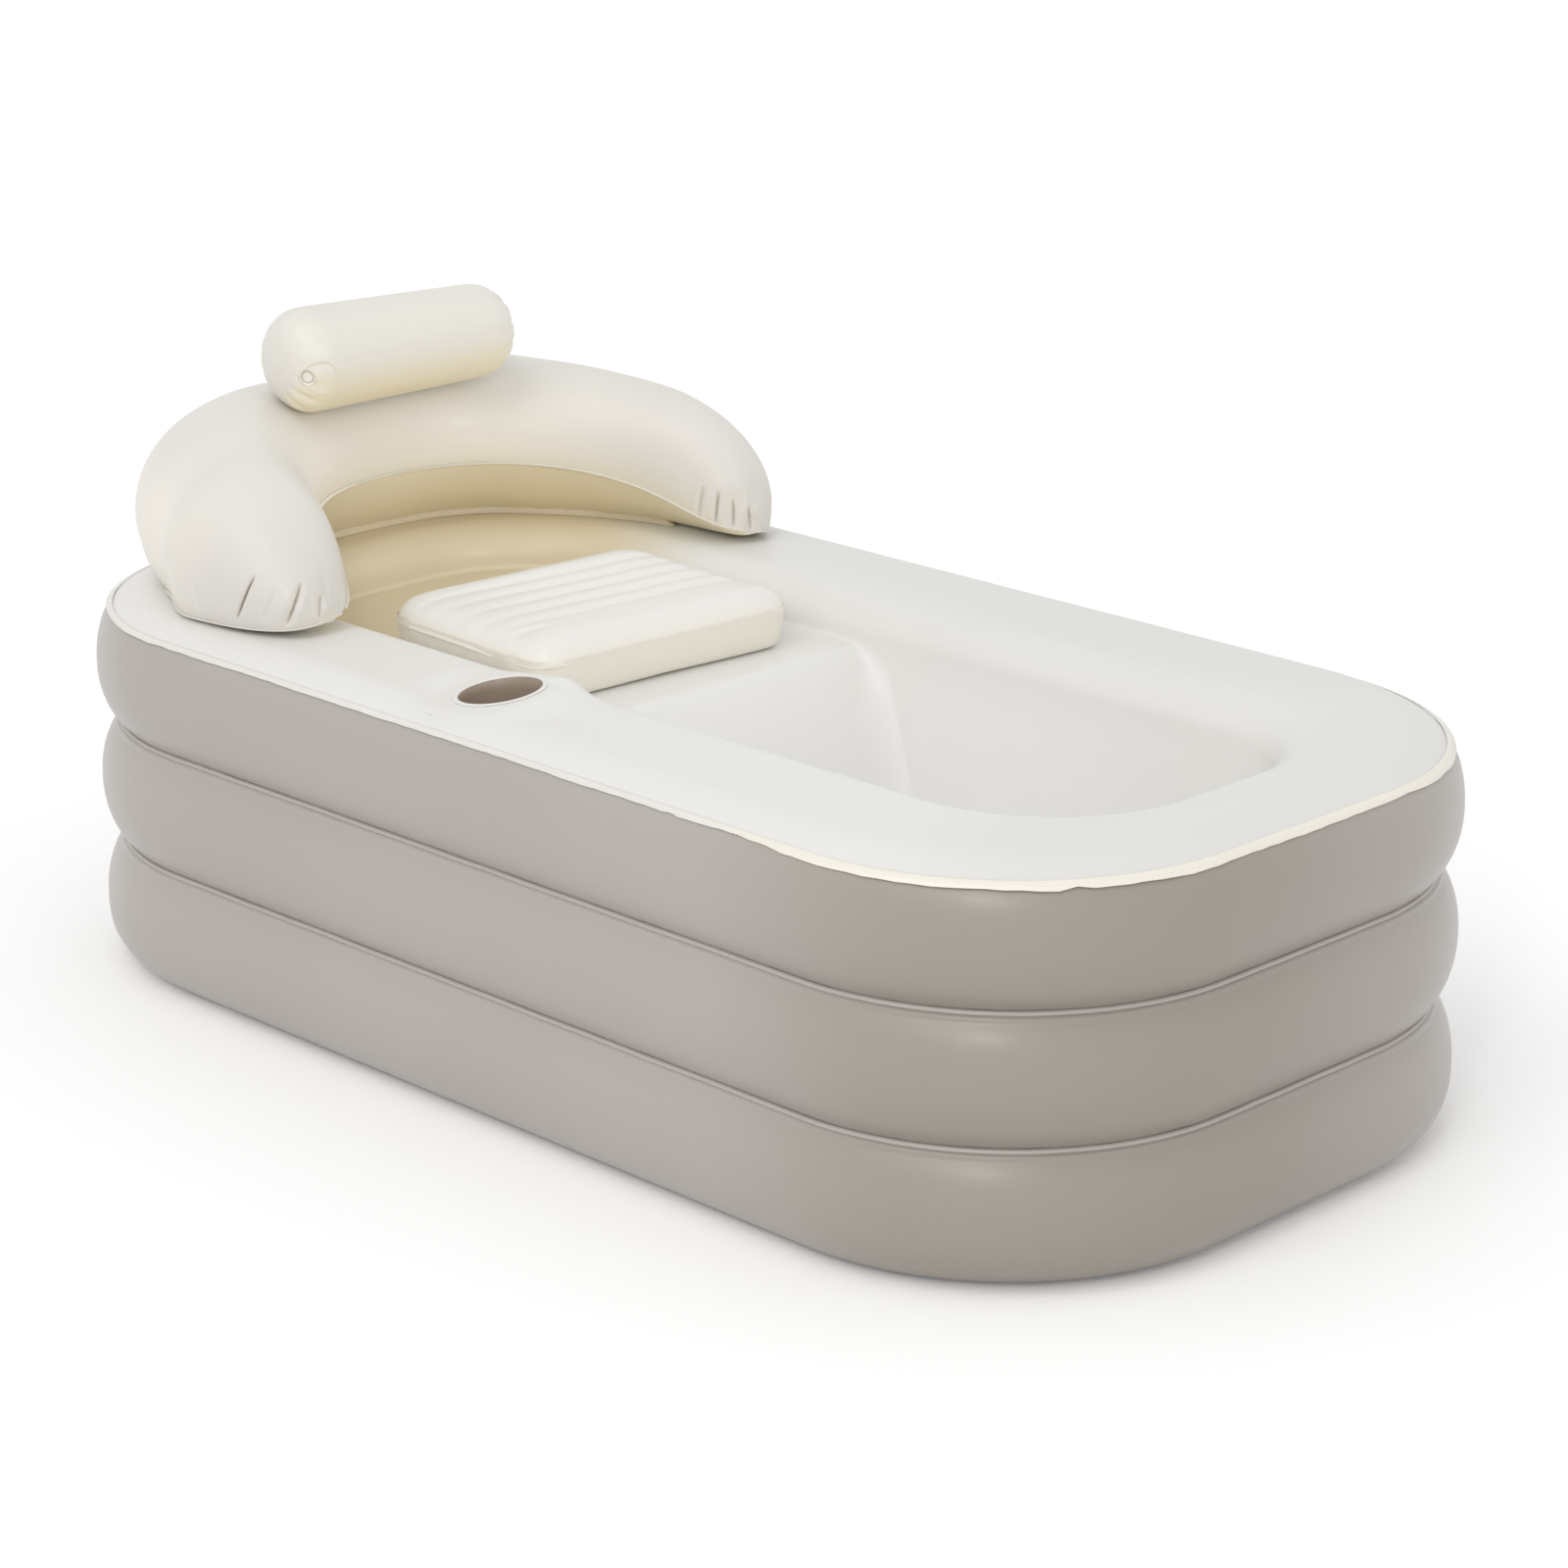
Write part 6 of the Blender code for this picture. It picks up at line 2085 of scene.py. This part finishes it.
@dataclass
class StopperValve:
    """A small flush valve: a base with a bore, let into a recess, and its stopper."""

    recess_radius: float = 0.0100
    recess_depth: float = 0.0090
    flange: float = 0.0020
    collar_radius: float = 0.0055
    collar: float = 0.0020
    bore: float = 0.0032
    head_radius: float = 0.0066
    head: float = 0.0020
    head_edge: float = 1.0 * MM
    shank: float = 0.0032
    well: float = 0.6 * MM
    well_room: float = 0.45 * MM
    gap: float = 0.3 * MM
    segments: int = 48

    def cutter(self, mouth: Sequence[float], outward: Sequence[float]) -> Object:
        """The recess that the valve needs.

        Args:
            mouth: Where its axis meets the skin.
            outward: Where it faces.

        Returns:
            The closed body.
        """
        radius, depth = self.recess_radius, -self.recess_depth
        return turned("stopper cutter", [(0, 0.010), (radius, 0.010), (radius, depth), (0, depth)],
                      aim(outward, mouth), segments=self.segments)

    def build(self, prefix: str, mouth: Sequence[float], outward: Sequence[float]) -> None:
        """Build the base and the stopper.

        Args:
            prefix: The piece that the valve belongs to.
            mouth: Where its axis meets the skin.
            outward: Where it faces.
        """
        place, bore, head = aim(outward, mouth), self.bore, self.head_radius
        floor = self.gap - self.recess_depth
        flange = floor + self.flange
        collar = flange + self.collar
        low = collar + self.gap
        top = low + self.head
        rim, well, well_z = self.recess_radius - self.gap, head + self.well_room, flange + self.well
        base = turned(f"{prefix}_stopper_seat", [
            (bore, collar), (self.collar_radius, collar), (self.collar_radius, well_z), (well, well_z),
            (well, top - 0.7 * MM), (rim - 1.0 * MM, -0.9 * MM), (rim, -0.6 * MM), (rim, floor), (bore, floor)],
            place, STOPPER_PLASTIC, soften=0.2 * MM, closed=True, segments=self.segments)
        kept(base, "valve_plastic", f"{prefix}_valve_base")
        shank, end = bore - self.gap, low - self.shank
        stopper = turned(f"{prefix}_stopper", [
            (0, top), (head - self.head_edge, top), (head, top - self.head_edge), (head, low), (shank, low),
            (shank, end), (0, end)], place, STOPPER_PLASTIC, soften=0.25 * MM, segments=self.segments)
        kept(stopper, "cap_plastic", f"{prefix}_valve_stopper")


@dataclass
class Drain:
    """The drain through the lower ring: seal, pipe, ribbed outer cap and inner plug."""

    x: float = 0.300
    z: float = 0.0855
    half_width: float = TUB.half_width
    pipe_radius: float = 0.0160
    pipe_wall: float = 0.0030
    recess_radius: float = 0.0290
    recess_depth: float = 0.0230
    mouth_inset: float = 0.268
    seal: float = 0.0015
    flange_radius: float = 0.0265
    flange: float = 0.0035
    collar: float = 0.0090
    cap_wall: float = 0.0030
    cap_top: float = 0.0030
    cap_edge: float = 1.5 * MM
    groove_depth: float = 0.7 * MM
    plug_head: float = 0.0040
    plug_length: float = 0.0130
    gap: float = 0.3 * MM

    @property
    def matrix(self) -> Matrix:
        """Where the drain sits."""
        return aim((0, 1, 0), (self.x, self.half_width - self.recess_depth, self.z))

    def cutter(self) -> Object:
        """The recess and bore that the drain needs in the lower ring and the liner.

        Returns:
            The closed body.
        """
        top, end = self.recess_depth + 0.010, self.recess_depth - self.mouth_inset - 0.010
        bore = self.pipe_radius + self.gap
        return turned("drain cutter", [(0, top), (self.recess_radius, top), (self.recess_radius, 0), (bore, 0),
                                       (bore, end), (0, end)], self.matrix)

    def build(self) -> None:
        """Build the four pieces of the drain."""
        place, gap, pipe, wide = self.matrix, self.gap, self.pipe_radius, self.flange_radius
        seal = gap + self.seal
        kept(turned("drain_rubber_seal", [(pipe + gap, seal), (wide, seal), (wide, gap), (pipe + gap, gap)],
                    place, SEAL_RUBBER, soften=0.3 * MM, closed=True), "seal_rubber", "drain_seal")
        low, mouth, bore = seal + gap, self.recess_depth - self.mouth_inset, pipe - self.pipe_wall
        flange = low + self.flange
        collar = flange + self.collar
        kept(turned("drain_through_pipe", [
            (bore, collar), (pipe, collar), (pipe, flange), (wide - 2 * MM, flange), (wide, flange - 1 * MM),
            (wide, low), (pipe, low), (pipe, mouth), (bore, mouth)], place, VALVE_PLASTIC, soften=0.4 * MM,
            closed=True), "valve_plastic", "drain_pipe")
        low, inner, inside, edge = flange + gap, pipe + gap, collar + gap, self.cap_edge
        outer, top = inner + self.cap_wall, inside + self.cap_top
        groove = top - self.groove_depth
        kept(turned("drain_outer_cap", [
            (0, top), (outer * 0.66, top), (outer * 0.70, groove), (outer * 0.76, groove), (outer * 0.80, top),
            (outer - edge, top), (outer, top - edge), (outer, low), (inner, low), (inner, inside), (0, inside)],
            place, CAP_PLASTIC, soften=0.3 * MM), "cap_plastic", "drain_cap")
        grip("drain_cap_grip", place, outer, (low + top) / 2 - 0.5 * MM, "drain_cap", Spacing=4.0 * MM,
             Length=1.4 * MM, Width=1.2 * MM, Height=1.6 * MM)
        top, shank, head = mouth - gap, bore - gap, self.plug_head
        end = top + self.plug_length
        kept(turned("drain_inner_plug", [
            (0, end), (shank, end), (shank, top), (pipe, top), (pipe, top - head / 2), (pipe - head / 2, top - head),
            (0, top - head)], place, CAP_PLASTIC, soften=0.4 * MM), "cap_plastic", "drain_plug")


# The studio


def seen_rays(tree: NodeTree) -> Node:
    """Whether a ray comes from the camera, off gloss or through clear plastic.

    Args:
        tree: The node tree.

    Returns:
        A node with 1 where it does.
    """
    rays = add_node(tree, "ShaderNodeLightPath").outputs
    seen = add_node(tree, "ShaderNodeMath", {0: rays["Is Camera Ray"], 1: rays["Is Glossy Ray"]}, operation="MAXIMUM")
    return add_node(tree, "ShaderNodeMath", {0: seen, 1: rays["Is Transmission Ray"]}, operation="MAXIMUM")


@dataclass
class Studio:
    """Plain pale floor, soft light and the photograph's camera."""

    lens: float = 98.56
    sensor: float = 36.0
    camera_place: tuple = (3.1936, -3.1458, 1.7624)
    forward: tuple = (-0.6698, 0.6726, -0.3145)
    ambient: float = 0.83
    key_strength: float = 0.62
    key_angle_deg: float = 40.0
    key_from: tuple = (0.08, -0.60, 0.79)
    gloss_power: float = 16.0
    gloss_size: float = 0.58
    gloss_place: tuple = (2.35, -2.85, 2.2)
    gloss_aim: tuple = (0.70, -0.33, 0.27)
    fill_power: float = 80.0
    fill_cone_deg: float = 17.0
    fill_size: float = 0.25
    fill_place: tuple = (2.8, -0.4, 1.8)
    fill_aim: tuple = (-0.66, 0.03, 0.50)
    floor_reach: float = 14.0
    floor_z: float = -0.2 * MM
    floor_white: float = 0.10
    floor_rough: float = 0.9

    def build(self) -> None:
        """Build floor, world, lamps and camera."""
        scene = bpy.context.scene
        scene.view_settings.view_transform = "Standard"
        self.build_floor()
        self.build_world(scene)
        # A broad key, a softbox that draws the gloss on the rings, and a soft fill on the backrest
        self.hang("Key", "SUN", self.key_from, (0, 0, 0), energy=self.key_strength,
                  angle=math.radians(self.key_angle_deg))
        self.hang("Softbox", "AREA", self.gloss_place, self.gloss_aim, shape="DISK", size=self.gloss_size,
                  energy=self.gloss_power)
        self.hang("Fill", "SPOT", self.fill_place, self.fill_aim, energy=self.fill_power, spot_blend=1.0,
                  spot_size=math.radians(self.fill_cone_deg), shadow_soft_size=self.fill_size)
        camera = linked("Camera", bpy.data.cameras.new("Camera"))
        camera.data.lens = self.lens
        camera.data.sensor_width = self.sensor
        forward = Vector(self.forward).normalized()
        right = forward.cross(UP).normalized()
        turn = Matrix((right, right.cross(forward), -forward)).transposed().to_4x4()
        camera.matrix_world = Matrix.Translation(Vector(self.camera_place)) @ turn
        scene.camera = camera

    def hang(self, name: str, kind: str, place: Sequence[float], target: Sequence[float],
             **settings: float | str) -> None:
        """Hang a lamp at a place and aim it.

        Args:
            name: Name of the lamp.
            kind: Blender's name for its type.
            place: Where it hangs.
            target: What it is aimed at.
            settings: Attributes of the lamp.
        """
        lamp = bpy.data.lights.new(name, kind)
        for key, value in settings.items():
            setattr(lamp, key, value)
        hung = linked(name, lamp)
        hung.location = place
        hung.rotation_euler = (Vector(place) - Vector(target)).to_track_quat("Z", "Y").to_euler()

    def build_floor(self) -> None:
        """A wide white floor that keeps the tub's shadow."""
        made = bpy.data.materials.new("White studio floor")
        made.use_nodes = True
        tree = made.node_tree
        shader = feed(tree.nodes["Principled BSDF"], {"Base Color": linear("#F7F7F7"), "Roughness": self.floor_rough})
        lift = add_node(tree, "ShaderNodeMath", {0: seen_rays(tree), 1: self.floor_white}, operation="MULTIPLY")
        white = add_node(tree, "ShaderNodeEmission", {"Strength": lift})
        feed(tree.nodes["Material Output"], {"Surface": add_node(tree, "ShaderNodeAddShader", {0: shader, 1: white})})
        mesh = bpy.data.meshes.new("studio_floor")
        reach = self.floor_reach
        mesh.from_pydata([(x, y, self.floor_z) for x, y in ((-reach, -reach), (reach, -reach), (reach, reach),
                                                            (-reach, reach))], [], [(0, 1, 2, 3)])
        mesh.materials.append(made)
        linked("studio_floor", mesh)

    def build_world(self, scene: bpy.types.Scene) -> None:
        """An even white world, full white where the camera, gloss or clear plastic sees it.

        Args:
            scene: The scene.
        """
        scene.world = bpy.data.worlds.new("Soft white")
        scene.world.use_nodes = True
        tree = scene.world.node_tree
        tree.nodes.clear()
        lit, white = (add_node(tree, "ShaderNodeBackground", {"Color": (1, 1, 1, 1), "Strength": strength})
                      for strength in (self.ambient, 1.0))
        mix = add_node(tree, "ShaderNodeMixShader", {0: seen_rays(tree), 1: lit, 2: white})
        add_node(tree, "ShaderNodeOutputWorld", {"Surface": mix})


def main() -> None:
    logging.basicConfig(level=logging.INFO, format="%(message)s")
    cup, ring_valve, stopper, drain = CupHolder(), RingValve(), StopperValve(), Drain()
    levels = (1.2 * MM, TUB.lower_crease_z, TUB.upper_crease_z, TUB.seam_z)
    heights = {ring: (low + high) / 2 for ring, low, high in zip(("lower", "middle", "upper"), levels, levels[1:])}
    recesses = {f"{ring}_ring": [ring_valve.cutter(height)] for ring, height in heights.items()}
    recesses["lower_ring"].append(drain.cutter())
    recesses["upper_ring"].append(cup.well_cutter())
    RingWall().build(recesses)
    seat = ((-0.480, 0.0599, TUB.seat_z), (0, 0, 1))
    floor = ((0.330, 0.0, TUB.floor_z), (0, 0, 1))
    Liner().build([cup.mouth_cutter(), stopper.cutter(*seat), stopper.cutter(*floor), drain.cutter()])
    WeldedRim().build()
    Chambers().build({"seat": [stopper.cutter(*seat)], "floor": [stopper.cutter(*floor)]})
    cup.build()

    backrest = Backrest()
    contact, _, _ = backrest.station(0)
    back = ((contact.x - backrest.bulges[0], contact.y, TUB.deck_z + backrest.bulge_rise), (-1, 0, 0))
    backrest.build(stopper.cutter(*back))
    roll = NeckRoll()
    roll.build(stopper.cutter(*roll.valve_seat()))
    cushion = SeatCushion()
    edge = cushion.side_draw - cushion.half_length
    mouth = cushion.place(edge, 0.0602, 0)
    behind = (mouth, mouth - cushion.place(edge + cushion.half_length, 0.0602, 0))
    cushion.build(stopper.cutter(*behind))

    for ring, height in heights.items():
        ring_valve.build(ring, height)
    for prefix, valve in (("seat", seat), ("floor", floor), ("backrest", back), ("pillow", roll.valve_seat()),
                          ("cushion", behind)):
        stopper.build(prefix, *valve)
    drain.build()
    Studio().build()


if __name__ == "__main__":
    main()
